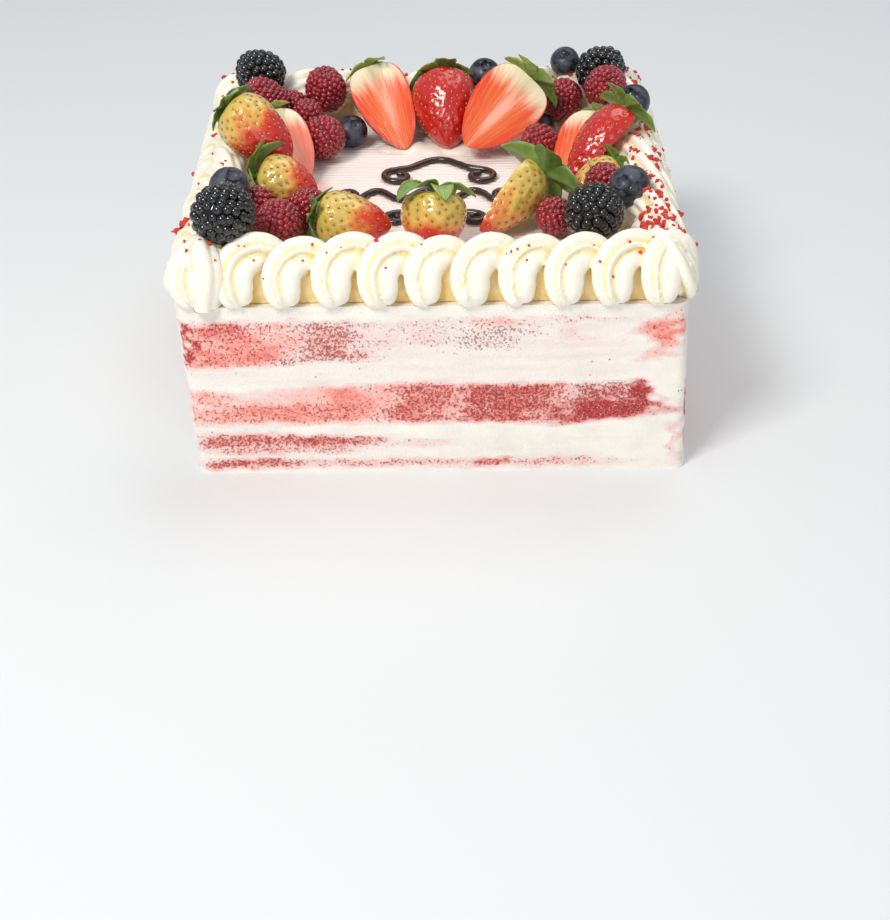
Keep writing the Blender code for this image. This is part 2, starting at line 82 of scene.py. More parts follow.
# How the sponge shows through the coat on the front, in millimetres: from x, to x, lower edge at
# both, upper edge at both, then how pink, how deep a red and how grainy, from 0 to 1
FRONT_BARE = (
    (-103, -93, 49, 49, 70, 70, 0.95, 0.60, 1.0),
    (-97, -56, 49.4, 50.5, 69.0, 69.2, 0.94, 0.14, 0.60),
    (-94, -56, 65.5, 65.5, 69.8, 69.8, 0.90, 0.25, 0.80),
    (-62, -21, 50.5, 52.5, 69.4, 69.6, 0.60, 0.12, 0.86),
    (-50, -24, 55, 51.5, 62, 58, 0.66, 0.25, 0.95),
    (-21, 12, 59, 57, 71, 70.5, 0.26, 0.0, 0.50),
    (-4, 12, 55, 55, 63, 63, 0.16, 0.0, 0.50),
    (4, 42, 66.0, 66.5, 71, 71, 0.56, 0.05, 0.50),
    (4, 38, 56, 57, 67, 67, 0.26, 0.0, 0.70),
    (38, 82, 68.6, 69.0, 71.2, 70.4, 0.50, 0.2, 0.62),
    (46, 66, 60, 60, 66.5, 66.5, 0.30, 0.0, 0.30),
    (-40, 84, 51, 51, 70, 70, 0.15, 0.0, 0.0),
    (-100, 84, 41.5, 42.5, 50.5, 51.5, 0.13, 0.0, 0.0),
    (85, 99, 57, 57, 70, 70, 0.88, 0.12, 0.46),
    (82, 97, 52, 52, 58, 58, 0.60, 0.0, 0.25),
    (88, 100, 69, 69, 75, 75, 0.36, 0.1, 0.52),
    (-103, -82, 22.5, 22.5, 39.5, 38.0, 0.66, 0.05, 0.50),
    (-84, -48, 23.5, 23.5, 38.0, 40.0, 0.55, 0.0, 0.22),
    (-94, -20, 23.0, 23.5, 32.5, 34.0, 0.86, 0.12, 0.60),
    (-54, -18, 24.0, 24.0, 40.5, 41.5, 0.92, 0.10, 0.36),
    (-24, 12, 23.6, 23.6, 41.8, 41.6, 0.92, 0.30, 0.80),
    (6, 52, 23.5, 22.8, 41.5, 40.8, 0.96, 0.50, 0.88),
    (48, 84, 31.0, 31.0, 40.8, 41.5, 0.66, 0.45, 0.88),
    (48, 90, 21.4, 26.5, 33.5, 33.5, 1.00, 0.92, 0.92),
    (76, 91, 25.5, 29.5, 42.5, 43.0, 1.00, 0.88, 0.94),
    (-94, -20, 12.0, 12.4, 19.0, 17.0, 0.84, 0.40, 0.86),
    (-92, -28, 8.6, 9.0, 13.5, 13.5, 0.58, 0.20, 0.70),
    (-24, 10, 11.5, 12.0, 16.0, 14.6, 0.36, 0.1, 0.48),
    (-94, -52, 2.0, 2.0, 6.6, 6.4, 0.84, 0.45, 0.86),
    (-52, 16, 2.2, 2.2, 6.2, 6.0, 0.56, 0.25, 0.66),
    (16, 30, 1.8, 1.8, 6.2, 6.2, 0.82, 0.4, 0.80),
    (28, 72, 2.2, 2.4, 6.0, 5.8, 0.56, 0.25, 0.66),
    (92, 101, 2, 2, 24, 24, 0.40, 0.1, 0.30),
)

# The combed middle of the top
COMB_PITCH = 0.0029
COMB_DEPTH = 0.00080
COMB_HALF = 0.084
COMB_SEAT = 0.0004
COMB_THICKNESS = 0.0009
# A smear of red on it: place, half width and half length
SMEAR_SPOT = (-0.051, 0.012, 0.009, 0.014)

# The piped border
SHELLS_PER_SIDE = 11
SHELL_PITCH = 0.0181
BORDER_IN = 0.0031
BORDER_TILT = math.radians(14)
BORDER_SEED = 11
CREAM_VOXEL = 0.00072

# Small lumps of cream at the tips of the back strawberries, in millimetres: x, y, width, height
LUMPS = (
    (-10.0, 54.5, 18.0, 3.2),
    (-1.0, 54.0, 18.0, 2.4),
    (11.0, 53.5, 19.0, 3.4),
    (19.5, 54.5, 13.0, 2.8),
    (-20.0, 54.5, 12.0, 1.8),
    (29.0, 48.0, 12.0, 1.7),
    (58.0, -1.0, 12.0, 2.4),
)

# Scrollwork
STROKE_RADIUS = 0.00155

# Fruit, in millimetres. Name, middle, width, length and the way the far end points
BRAMBLES = (
    ("bramble_1", (-80.8, 78.8, 105.0), 21, 23, (-1.0, 0.1, 0.3)),
    ("bramble_2", (78.2, 81.0, 104.4), 21, 23, (0.9, 0.2, 0.3)),
    ("bramble_3", (64.0, -59.0, 96.4), 24, 27, (-0.2, -0.8, 0.4)),
    ("bramble_4", (-81.6, -82.0, 107.6), 24, 26, (-0.3, -0.8, 0.2)),
)
RASPBERRIES = (
    ("raspberry_1", (-77.8, 59.6, 99.6), 19, 21, (-0.8, 0.1, 0.6)),
    ("raspberry_2", (-67.6, 72.4, 89.2), 18, 20, (0.7, -0.4, 0.5)),
    ("raspberry_3", (-50.4, 75.0, 98.4), 19, 22, (-0.1, -0.5, 0.9)),
    ("raspberry_4", (-58.4, 57.2, 92.4), 15, 16, (0.2, -0.3, 0.9)),
    ("raspberry_5", (-50.2, 41.8, 88.0), 20, 20, (0.1, -0.9, 0.4)),
    ("raspberry_6", (60.4, 75.0, 92.0), 19, 21, (0.0, -0.6, 0.8)),
    ("raspberry_7", (78.6, 59.8, 104.0), 19, 21, (0.2, -0.7, 0.7)),
    ("raspberry_8", (47.6, 36.4, 86.8), 17, 19, (-0.3, -0.7, 0.6)),
    ("raspberry_9", (70.4, -29.8, 96.4), 16, 17, (0.0, -0.5, 0.9)),
    ("raspberry_10", (49.8, -40.0, 86.0), 16, 17, (-0.3, -0.6, 0.7)),
    ("raspberry_11", (-63.4, -54.8, 89.8), 21, 22, (0.1, -0.6, 0.8)),
    ("raspberry_12", (-73.2, -36.2, 88.8), 18.6, 20, (-0.4, -0.5, 0.8)),
    ("raspberry_13", (-53.4, -34.4, 87.2), 18, 20, (0.4, -0.5, 0.8)),
)
BLUEBERRIES = (
    ("blueberry_1", (-38.4, 58.0, 84.0), 15, (0.3, -0.6, 0.7)),
    ("blueberry_2", (23.8, 83.0, 101.6), 15, (0.1, -0.5, 0.8)),
    ("blueberry_3", (62.2, 91.0, 104.4), 14, (-0.2, -0.5, 0.8)),
    ("blueberry_4", (88.4, 31.6, 107.6), 15, (-0.3, -0.6, 0.7)),
    ("blueberry_5", (49.0, 59.4, 84.2), 15, (-0.5, -0.5, 0.7)),
    ("blueberry_6", (79.8, -43.4, 100.6), 17, (-0.4, -0.7, 0.5)),
    ("blueberry_7", (-83.4, -44.0, 101.4), 17, (0.3, -0.4, 0.9)),
    ("blueberry_8", (-86.8, 44.6, 103.0), 15, (0.2, -0.3, 0.9)),
)

# Name, tip, crown, width, way the cut face looks, leaves, their length, droop, spin, and how ripe:
# the share of the length from the tip that is red
STRAWBERRIES = (
    ("strawberry_1", (-12.8, 49.0, 79.2), (-29.8, 77.6, 108.4), 28, (0.2, -0.8, 0.6), 4, 10, 0.5, 0.4, 0.85),
    ("strawberry_2", (7.0, 48.0, 80.0), (4.0, 79.0, 102.0), 31, None, 6, 12, 0.3, 0.0, 1.3),
    ("strawberry_3", (14.2, 37.2, 85.2), (44.2, 58.2, 109.2), 33, (0.1, -0.8, 0.6), 5, 13, 0.1, 0.6, 0.85),
    ("strawberry_4", (56.0, 9.0, 80.4), (73.0, 42.0, 99.4), 27, (-0.5, -0.7, 0.5), 4, 8, 0.4, 0.2, 0.8),
    ("strawberry_5", (58.2, -3.4, 84.8), (85.2, 18.6, 106.0), 26, (0.7, -0.1, -0.7), 5, 13, 0.1, 0.9, 1.1),
    ("strawberry_6", (57.0, -23.2, 86.8), (76.8, -7.2, 94.0), 16, None, 4, 10, 0.3, 0.3, 0.25),
    ("strawberry_7", (18.4, -48.4, 84.0), (41.0, -18.4, 96.0), 26, (-0.8, 0.5, 0.2), 5, 16.5, 0.4, 0.5, 0.20),
    ("strawberry_8", (-1.0, -60.2, 77.8), (0.4, -47.2, 100.2), 28, None, 5, 14.5, 0.6, 0.1, 0.42),
    ("strawberry_9", (-17.4, -54.2, 88.8), (-47.4, -51.2, 91.8), 24, None, 5, 11, 0.5, 0.2, 0.36),
    ("strawberry_10", (-49.2, -18.8, 88.2), (-74.2, -13.8, 93.4), 24, None, 5, 16, 0.5, 0.7, 0.34),
    ("strawberry_11", (-61.6, 1.0, 94.6), (-88.2, 15.0, 112.6), 27, None, 6, 10, 0.28, 0.5, 0.56),
    ("strawberry_12", (-56.2, 9.2, 81.0), (-71.8, 38.2, 103.0), 25, (0.5, -0.8, 0.4), 4, 9, 0.3, 0.5, 0.85),
)
FLESH_SWELL = 1.66
TIP_SHARE = 0.62
CROWN_SHARE = 0.26
BERRY_ROWS = 56
BERRY_SIDES = 80
CUT_MARGIN = 0.0012
STAR_SHIFT = 0.16
STAR_HEIGHT = 0.955
SEED_RADIUS = 0.00042
SEED_SHAPE = (0.72, 1.35, 0.6, 1.0)
SEED_REST = 0.00032
SEED_SPREAD = 0.0000145
SEED_BATCH = 24
GOLDEN_ANGLE = 2.39996
PIT_REACH = 0.0012
PIT_SINK = 0.00075

# Leaves, and the stub of the stalk as its radius below, radius above and height
HUB_SHARE = 0.12
LEAF_THICKNESS = 0.0004
LEAF_RIPPLE = 0.0002
LEAF_LIFT = 0.0003
STALK = (0.0018, 0.0011, 0.004)

# Beads and blueberries
BEAD_BRAMBLE = 0.0022
BEAD_RASPBERRY = 0.0015
# Half a blueberry from its foot to the dent in its crown: reach, with a half width of one, and
# height, with a width of one
BLUEBERRY_PROFILE = (
    (0.0, -0.47), (0.28, -0.45), (0.55, -0.38), (0.80, -0.26), (0.95, -0.11), (1.0, 0.04), (0.94, 0.20),
    (0.80, 0.33), (0.60, 0.41), (0.44, 0.45), (0.38, 0.47), (0.36, 0.495), (0.33, 0.49), (0.29, 0.45),
    (0.20, 0.415), (0.10, 0.40), (0.0, 0.395),
)


def rgb(red, green, blue):
    """A colour given in 0 to 255 screen values, as linear values with alpha."""
    screen = [value / 255 for value in (red, green, blue)]
    flat = [value / 12.92 if value < 0.04045 else ((value + 0.055) / 1.055) ** 2.4 for value in screen]
    return (*flat, 1.0)


def ease(value, low, high):
    """0 below low, 1 above high and a smooth rise between."""
    part = min(max((value - low) / (high - low), 0.0), 1.0)
    return part * part * (3 - 2 * part)


class Wire:
    """What comes out of a shader node. Arithmetic on it adds Math nodes."""

    def __init__(self, paint, socket):
        self.paint = paint
        self.socket = socket

    def math(self, operation, *terms):
        return self.paint.node("ShaderNodeMath", {"operation": operation}, dict(enumerate(terms)))

    def __add__(self, other):
        return self.math("ADD", self, other)

    def __sub__(self, other):
        return self.math("SUBTRACT", self, other)

    def __rsub__(self, other):
        return self.math("SUBTRACT", other, self)

    def __mul__(self, other):
        return self.math("MULTIPLY", self, other)

    def __truediv__(self, other):
        return self.math("DIVIDE", self, other)

    def __pow__(self, other):
        return self.math("POWER", self, other)

    def __abs__(self):
        return self.math("ABSOLUTE", self)

    __radd__ = __add__
    __rmul__ = __mul__

    def most(self, other):
        return self.math("MAXIMUM", self, other)

    def least(self, other):
        return self.math("MINIMUM", self, other)

    def rise(self, low, high):
        """0 below low, 1 above high and a smooth rise between."""
        settings = {"interpolation_type": "SMOOTHSTEP"}
        return self.paint.node("ShaderNodeMapRange", settings, {0: self, 1: low, 2: high, 3: 0.0, 4: 1.0})


class Paint:
    """A material with one Principled shader, and the nodes that feed it."""

    def __init__(self, name, **constants):
        self.material = bpy.data.materials.new(name)
        self.material.use_nodes = True
        self.tree = self.material.node_tree
        self.shader = self.tree.nodes["Principled BSDF"]
        for socket, value in constants.items():
            self.shader.inputs[socket.replace("_", " ")].default_value = value
        self.place = self.node("ShaderNodeTexCoord", {}, {}, "Object")

    def node(self, kind, settings, sockets, out=0):
        """Add a node of that type, make its settings, then set or link its sockets."""
        made = self.tree.nodes.new(kind)
        for name, value in settings.items():
            if name == "stops":
                self.ramp_stops(made.color_ramp, value)
            else:
                setattr(made, name, value)
        for key, value in sockets.items():
            self.feed(made.inputs[key], value)
        return Wire(self, made.outputs[out])

    @staticmethod
    def ramp_stops(ramp, stops):
        """Put the stops, each a position and a colour, on a colour ramp."""
        while len(ramp.elements) < len(stops):
            ramp.elements.new(1.0)
        for element, (position, colour) in zip(ramp.elements, stops):
            element.position = position
            element.color = colour

    def feed(self, socket, value):
        if isinstance(value, Wire):
            self.tree.links.new(value.socket, socket)
        else:
            socket.default_value = value

    def attribute(self, name, out="Fac"):
        return self.node("ShaderNodeAttribute", {"attribute_name": name}, {}, out)

    def noise(self, scale, detail=2.0, rough=0.5, stretch=None):
        """Cloudy noise with features about one metre divided by the scale."""
        place = self.place
        if stretch:
            place = self.node("ShaderNodeVectorMath", {"operation": "MULTIPLY"}, {0: place, 1: stretch})
        sockets = {"Vector": place, "Scale": scale, "Detail": detail, "Roughness": rough}
        return self.node("ShaderNodeTexNoise", {}, sockets)

    def cells(self, scale):
        """Distance to the nearest of scattered points."""
        return self.node("ShaderNodeTexVoronoi", {}, {"Vector": self.place, "Scale": scale}, "Distance")

    def mix(self, factor, low, high):
        """A colour between two colours."""
        return self.node("ShaderNodeMix", {"data_type": "RGBA"}, {0: factor, 6: low, 7: high}, 2)

    def ramp(self, factor, *stops):
        return self.node("ShaderNodeValToRGB", {"stops": stops}, {0: factor})

    def bump(self, height, depth, strength=1.0):
        """Let a height between 0 and 1 raise the surface by a depth in metres."""
        sockets = {"Height": height, "Distance": depth, "Strength": strength}
        self.set(Normal=self.node("ShaderNodeBump", {}, sockets, "Normal"))

    def set(self, **sockets):
        for name, value in sockets.items():
            self.feed(self.shader.inputs[name.replace("_", " ")], value)
        return self.material


# Cream colours: lit white, painted shade for the folds, and deeper painted shade for the deepest folds
CREAM_WHITE = rgb(251, 245, 230)
CREAM_SHADE = rgb(247, 226, 168)
CREAM_DEEP_SHADE = rgb(236, 192, 102)


def cream_paint():
    """Piped cream: warm white, with painted shade that grows yellower the deeper the fold."""
    paint = Paint("cream_piped", Roughness=0.42, Subsurface_Weight=0.12, Subsurface_Scale=0.003)
    hollow = paint.attribute("hollow")
    mottle = paint.noise(260, 3)
    # Painted shade: the deeper a point lies in a fold, the more it is painted yellow, then amber
    depth = hollow + (mottle - 0.5) * 0.16
    paint.set(Base_Color=paint.ramp(depth, (0.46, CREAM_WHITE), (0.72, CREAM_SHADE), (1.0, CREAM_DEEP_SHADE)))
    paint.bump(paint.noise(900, 4, 0.6), 0.00012)
    return paint.material


def coat_paint():
    """The cake's side: cream scraped thin, with red crumb wherever the sponge comes through."""
    paint = Paint("scraped_side", Subsurface_Weight=0.05, Subsurface_Scale=0.002)
    blotch = paint.noise(120, 3, 0.6, (0.5, 0.5, 1.3)) - 0.5
    middling = paint.noise(430, 3, 0.62) - 0.5
    fine = paint.noise(860, 3, 0.65)
    flakes = paint.noise(1500, 2, 0.6)
    pink = paint.attribute("pink")
    deep = paint.attribute("deep")
    grain = paint.attribute("grain")
    there = (pink * 3).least(1.0)
    veil = pink + (blotch * 0.75 + middling * 0.45) * there
    cream = paint.mix(paint.noise(60, 3).rise(0.3, 0.7), rgb(252, 247, 236), rgb(241, 234, 225))
    coral = paint.ramp(
        veil,
        (0.10, rgb(244, 232, 226)),
        (0.36, rgb(243, 216, 210)),
        (0.62, rgb(250, 194, 184)),
        (0.84, rgb(250, 168, 156)),
        (1.0, rgb(242, 138, 128)),
    )
    colour = paint.mix((pink * 4).rise(0.0, 1.0), cream, coral)
    damp = (grain * 0.55 + middling * 1.1).rise(0.22, 0.62) * veil.rise(0.3, 0.8)
    colour = paint.mix(damp * 0.5, colour, rgb(226, 104, 100))
    ruddy = (deep + (middling + blotch) * 0.5 * (deep * 4).least(1.0)).rise(0.12, 1.05)
    colour = paint.mix(ruddy, colour, rgb(202, 66, 64))
    level = 0.715 - grain * 0.24 - middling * 0.22
    dots = (fine - level).rise(0.0, 0.06) * (grain * 12).least(1.0)
    pore = paint.mix(veil, rgb(170, 92, 108), rgb(186, 60, 66))
    dark = paint.mix(flakes.rise(0.40, 0.60), pore, rgb(122, 26, 42))
    colour = paint.mix(dots * (0.62 + deep * 0.2), colour, dark)
    flecks = (flakes - (0.645 - deep * 0.05)).rise(0.0, 0.06)
    flecks = flecks * (grain * 3).least(1.0) * veil.rise(0.2, 0.6)
    colour = paint.mix(flecks * 0.7, colour, rgb(248, 208, 198))
    lone = (1 - paint.cells(240)).rise(0.88, 0.92) * paint.noise(45).rise(0.52, 0.66)
    colour = paint.mix(lone * 0.7, colour, rgb(150, 60, 72))
    paint.bump(fine * 0.5 + flakes * 0.3 - dots * 0.8 * (grain + 0.2), 0.0006)
    return paint.set(Base_Color=colour, Roughness=(pink * 0.3 + 0.48).least(0.85))


def comb_paint():
    """The combed middle of the top: cream with a breath of pink."""
    paint = Paint("combed_top", Roughness=0.5, Subsurface_Weight=0.08, Subsurface_Scale=0.002)
    tint = paint.noise(28, 3).rise(0.35, 0.75)
    colour = paint.mix(tint, rgb(250, 238, 230), rgb(250, 228, 222))
    smear = paint.attribute("smear")
    colour = paint.mix(smear, colour, rgb(240, 150, 140))
    paint.bump(paint.noise(420, 3, 0.6, (0.25, 2.0, 1.0)), 0.00015)
    return paint.set(Base_Color=colour)


def skin_paint():
    """Strawberry skin: pale yellow where unripe, through orange to deep red, with painted shade in the seed
    pits.
    """
    paint = Paint("strawberry_skin", Roughness=0.16, Coat_Weight=0.8, Coat_Roughness=0.05,
                  Subsurface_Weight=0.12, Subsurface_Scale=0.002)
    ripe = paint.attribute("ripe") + (paint.noise(190, 3) - 0.5) * 0.22
    colour = paint.ramp(
        ripe,
        (0.0, rgb(210, 188, 90)),
        (0.26, rgb(234, 192, 92)),
        (0.50, rgb(236, 142, 64)),
        (0.66, rgb(224, 64, 36)),
        (1.0, rgb(202, 24, 24)),
    )
    # Painted shade: the deeper the pit round a seed, the darker the skin
    pit = paint.attribute("pit")
    colour = paint.mix(pit * 0.36, colour, rgb(158, 56, 28))
    paint.bump(paint.noise(330, 3, 0.6), 0.0007)
    return paint.set(Base_Color=colour)


def seed_paint():
    """Strawberry seeds: dark on pale skin, golden on red skin."""
    paint = Paint("strawberry_seed", Roughness=0.35, Coat_Weight=0.4)
    ripe = paint.attribute("ripe")
    colour = paint.mix(ripe.rise(0.4, 0.7), rgb(164, 112, 44), rgb(226, 168, 76))
    return paint.set(Base_Color=colour)


def flesh_paint():
    """Cut strawberry: pale core and shoulders, orange-red flesh with fibres that fan out."""
    paint = Paint("strawberry_flesh", Roughness=0.24, Coat_Weight=0.5, Coat_Roughness=0.1,
                  Subsurface_Weight=0.15, Subsurface_Scale=0.003)
    where = paint.attribute("berry", "Vector")
    split = paint.node("ShaderNodeSeparateXYZ", {}, {0: where}, "Y")
    along = paint.node("ShaderNodeSeparateXYZ", {}, {0: where}, "Z")
    half = (along.most(0.001) ** TIP_SHARE) * ((1 - along).most(0.001) ** CROWN_SHARE) * (FLESH_SWELL / 2)
    across = abs(split) / half.most(0.05)
    fan = split.math("ARCTAN2", split, along * 0.8 + 0.25)
    stripe_place = paint.node("ShaderNodeCombineXYZ", {}, {0: fan * 19.0, 1: along * 2.2, 2: 0.0})
    fibre = paint.node("ShaderNodeTexNoise", {}, {"Vector": stripe_place, "Scale": 1.0, "Detail": 2.0})
    pale_top = (along + across * 0.06 + (fibre - 0.5) * 0.26).rise(0.70, 0.98)
    core = (1 - across * 2.4 + (fibre - 0.5) * 0.5).rise(0.25, 0.85) * (along + 0.1).rise(0.2, 0.5)
    flesh = paint.mix(across.rise(0.25, 0.95), rgb(244, 108, 50), rgb(238, 76, 32))
    flesh = paint.mix(fibre.rise(0.45, 0.75) * 0.40, flesh, rgb(250, 166, 108))
    flesh = paint.mix(core * 0.34, flesh, rgb(255, 208, 184))
    flesh = paint.mix(pale_top, flesh, rgb(248, 236, 200))
    flesh = paint.mix((across + (fibre - 0.5) * 0.05).rise(0.93, 0.99), flesh, rgb(222, 52, 34))
    paint.bump(fibre, 0.0004)
    return paint.set(Base_Color=flesh)


def leaf_paint():
    """Strawberry leaves: green with paler veins."""
    paint = Paint("strawberry_leaf", Roughness=0.38, Coat_Weight=0.25, Coat_Roughness=0.2,
                  Subsurface_Weight=0.05, Subsurface_Scale=0.001)
    vein = paint.attribute("vein")
    tone = paint.attribute("tone") + (paint.noise(240, 2) - 0.5) * 0.5
    greens = ((0.1, rgb(72, 104, 40)), (0.5, rgb(120, 154, 68)), (0.9, rgb(182, 202, 104)))
    colour = paint.ramp(tone, *greens)
    colour = paint.mix(vein * 0.45, colour, rgb(170, 196, 120))
    paint.bump(vein + paint.noise(700, 2) * 0.5, 0.0003)
    return paint.set(Base_Color=colour)


def bead_paint(name, deep, bright, roughness, veil, dust_and_sheen_share):
    """Berry beads: each its own tone, with a pale veil on some, which is dust, and on the raspberries also
    painted sheen.
    """
    paint = Paint(name, Roughness=roughness, Coat_Weight=0.7, Coat_Roughness=0.06,
                  Subsurface_Weight=0.1, Subsurface_Scale=0.0015)
    tone = paint.attribute("tone")
    colour = paint.mix(tone, deep, bright)
    # Pale veil in patches: dust, and on the raspberries painted sheen
    dust_and_sheen = (paint.noise(330, 3, 0.6) - 0.02).rise(0.42, 0.72)
    colour = paint.mix(dust_and_sheen * dust_and_sheen_share, colour, veil)
    return paint.set(Base_Color=colour)


def blueberry_paint():
    """Blueberry skin under a powdery bloom that is rubbed off in places."""
    paint = Paint("blueberry_skin", Coat_Weight=0.15, Coat_Roughness=0.2)
    bloom = paint.noise(150, 4, 0.62).rise(0.40, 0.62)
    fine = paint.noise(1100, 2)
    colour = paint.mix(bloom, rgb(18, 16, 24), rgb(78, 82, 98))
    colour = paint.mix(fine * 0.25, colour, rgb(38, 34, 48))
    paint.bump(paint.noise(600, 3), 0.0001)
    return paint.set(Base_Color=colour, Roughness=bloom * 0.35 + 0.25)


def chocolate_paint():
    """Piped chocolate icing."""
    paint = Paint("chocolate_line", Roughness=0.26, Coat_Weight=0.4, Coat_Roughness=0.12)
    colour = paint.mix(paint.noise(300, 2), rgb(34, 18, 16), rgb(62, 38, 32))
    paint.bump(paint.noise(500, 3), 0.0002)
    return paint.set(Base_Color=colour)


def crumb_paint():
    """Dry red crumbs."""
    paint = Paint("red_crumb", Roughness=0.85)
    colour = paint.mix(paint.noise(900, 3), rgb(176, 34, 34), rgb(232, 84, 66))
    paint.bump(paint.noise(1500, 3), 0.0003)
    return paint.set(Base_Color=colour)


def piece(name, shape, paints, slot, *nodes):
    """A finished object of the cake from a bmesh, standing for the nodes if any are given."""
    mesh = bpy.data.meshes.new(name)
    shape.to_mesh(mesh)
    shape.free()
    made = bpy.data.objects.new(name, mesh)
    bpy.context.scene.collection.objects.link(made)
    for paint in paints:
        mesh.materials.append(paint)
    mesh.shade_smooth()
    return ready(made, slot, *nodes)


def ready(made, slot, *nodes):
    """Tie a piece to the cake and hide the solids that it stands for. The slot is not used."""
    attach(made, "root")
    if nodes:
        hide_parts(*nodes)
    return made


def melted(made, rounds):
    """Melt what a piece is made of into one skin, smooth it some rounds, and keep that as its mesh."""
    melt = made.modifiers.new("melt", "REMESH")
    melt.mode = "VOXEL"
    melt.voxel_size = CREAM_VOXEL
    melt.use_smooth_shade = True
    soften = made.modifiers.new("soften", "SMOOTH")
    soften.factor = 0.5
    soften.iterations = rounds
    bpy.context.view_layer.update()
    seen = made.evaluated_get(bpy.context.evaluated_depsgraph_get())
    mesh = bpy.data.meshes.new_from_object(seen)
    made.modifiers.clear()
    made.data = mesh


def merge(shape, part):
    """Add a smaller bmesh to another and free it."""
    mesh = bpy.data.meshes.new("part")
    part.to_mesh(mesh)
    part.free()
    shape.from_mesh(mesh)
    bpy.data.meshes.remove(mesh)


def set_attribute(mesh, name, values):
    """Store one number for each point of the mesh."""
    mesh.attributes.new(name, "FLOAT", "POINT").data.foreach_set("value", np.asarray(values, np.float32))


def ring_edges(verts):
    """The edges that join these points."""
    chosen = set(verts)
    return list({edge for vert in verts for edge in vert.link_edges if edge.other_vert(vert) in chosen})


def push(shape, verts, step):
    """Extrude a ring of points and move the new ring by a matrix."""
    grown = bmesh.ops.extrude_edge_only(shape, edges=ring_edges(verts))
    fresh = [item for item in grown["geom"] if isinstance(item, bmesh.types.BMVert)]
    bmesh.ops.transform(shape, matrix=step, verts=fresh)
    return fresh


def tube(shape, stations, sides, reach=None):
    """A closed tube from each station matrix to the next.

    A ring's half width is 1 in its station, or what reach gives for an angle in degrees and the part
    of the way along the tube.
    """
    verts = bmesh.ops.create_circle(shape, cap_ends=True, segments=sides, radius=1.0)["verts"]
    bmesh.ops.transform(shape, matrix=stations[0], verts=verts)
    rings = [verts]
    for before, after in zip(stations, stations[1:]):
        rings.append(push(shape, rings[-1], after @ before.inverted()))
    bmesh.ops.contextual_create(shape, geom=ring_edges(rings[-1]))
    if reach:
        for index, (ring, place) in enumerate(zip(rings, stations)):
            back = place.inverted()
            for vert in ring:
                local = back @ vert.co
                degrees = math.degrees(math.atan2(local.y, local.x))
                vert.co = place @ (local * reach(degrees, index / (len(stations) - 1)))


def station(centre, side, out, half_side, half_out):
    """Matrix of a tube's ring: the ring's X lies along side and its Y along out."""
    ahead = side.cross(out).normalized()
    turned = Matrix((side * half_side, out * half_out, ahead * min(half_side, half_out))).transposed()
    return Matrix.Translation(centre) @ turned.to_4x4()


def smooth_route(points, steps):
    """A curve through the points, with that many steps between each two."""
    out = []
    last = len(points) - 1
    for index in range(last):
        before = points[max(index - 1, 0)]
        here = points[index]
        there = points[index + 1]
        after = points[min(index + 2, last)]
        for step in range(steps):
            t = step / steps
            straight = 2 * here + (there - before) * t
            bend = (2 * before - 5 * here + 4 * there - after) * t * t
            twist = (3 * here - before - 3 * there + after) * t ** 3
            out.append(0.5 * (straight + bend + twist))
    out.append(points[last].copy())
    return out


def lean(height):
    """Sideways shift of the cake at a height above its base."""
    return LEAN_FOOT + (LEAN_TOP - LEAN_FOOT) * height / HEIGHT


def layer_height(level, x, y):
    """Height of a joint between two layers at a place."""
    if level in (0.0, HEIGHT):
        return level
    return level + LAYER_WAVE * (math.sin(x * 41 + level * 300) + math.sin(y * 37 + level * 190))


def rounded_square(part):
    """Point on the cake's outline and its outward direction, for a part of the way round."""
    corner = CORNER_RADIUS
    straight = SIDE - 2 * corner
    quarter = straight + corner * math.pi / 2
    reach = (part % 1.0) * 4 * quarter
    side = int(reach // quarter) % 4
    rest = reach - side * quarter
    if rest < straight:
        point = Vector((SIDE / 2, rest - straight / 2))
        out = Vector((1.0, 0.0))
    else:
        angle = (rest - straight) / corner
        out = Vector((math.cos(angle), math.sin(angle)))
        point = Vector((SIDE / 2 - corner, SIDE / 2 - corner)) + out * corner
    turn = Matrix.Rotation(math.pi / 2 * side, 2)
    return turn @ point, turn @ out


def window(value, low, high, soft):
    """1 between low and high, easing to 0 over the soft width outside and inside."""
    return ease(value, low - soft, low + soft) * (1 - ease(value, high - soft, high + soft))


def front_share(x, z, wobble, small):
    """How pink, how deep a red and how grainy the front is at a place."""
    best = [0.0, 0.0, 0.0]
    for x0, x1, low0, low1, high0, high1, *shares in FRONT_BARE:
        part = min(max((x - x0) / (x1 - x0), 0.0), 1.0)
        low = low0 + (low1 - low0) * part
        high = high0 + (high1 - high0) * part
        along = x + small * 8 + wobble * 13
        across = z + small * 1.3 + wobble * 0.8
        blend = min(17.0, (x1 - x0) * 0.42)
        soft = window(along, x0, x1, blend) * window(across, low, high, 2.1)
        crisp = window(along, x0, x1, blend * 0.8) * window(across, low, high, 1.3)
        weights = (soft, soft, crisp)
        best = [max(old, new * weight) for old, new, weight in zip(best, shares, weights)]
    return best


def bare_share(point, out):
    """How pink, how deep a red and how grainy the side is at a place, each from 0 to 1."""
    x, y, z = (value / MM for value in point)
    wobble = noise.noise(Vector((x * 0.05, y * 0.05, z * 0.13)))
    small = noise.noise(Vector((x * 0.16 + 9, y * 0.16, z * 0.4)))
    if out.y < -0.6:
        return front_share(x, z, wobble, small)
    bands = ((2.0, 6.5), (9.0, 19.0), (23.5, 41.5), (50.0, 70.0))
    band = max(window(z + small * 1.3, low, high, 1.6) for low, high in bands)
    place = Vector((x * 0.016 + 40, y * 0.016 + 11, z * 0.045))
    pink = band * ease(noise.noise(place) + 0.25 * small, -0.30, 0.30)
    deep = ease(noise.noise(place * 1.3 + Vector((5, 5, 5))), 0.0, 0.5)
    grain = ease(noise.noise(place * 1.7 + Vector((9, 2, 7))), -0.4, 0.3)
    return [pink * 0.95, pink * deep * 0.8, pink * (0.35 + 0.6 * grain)]


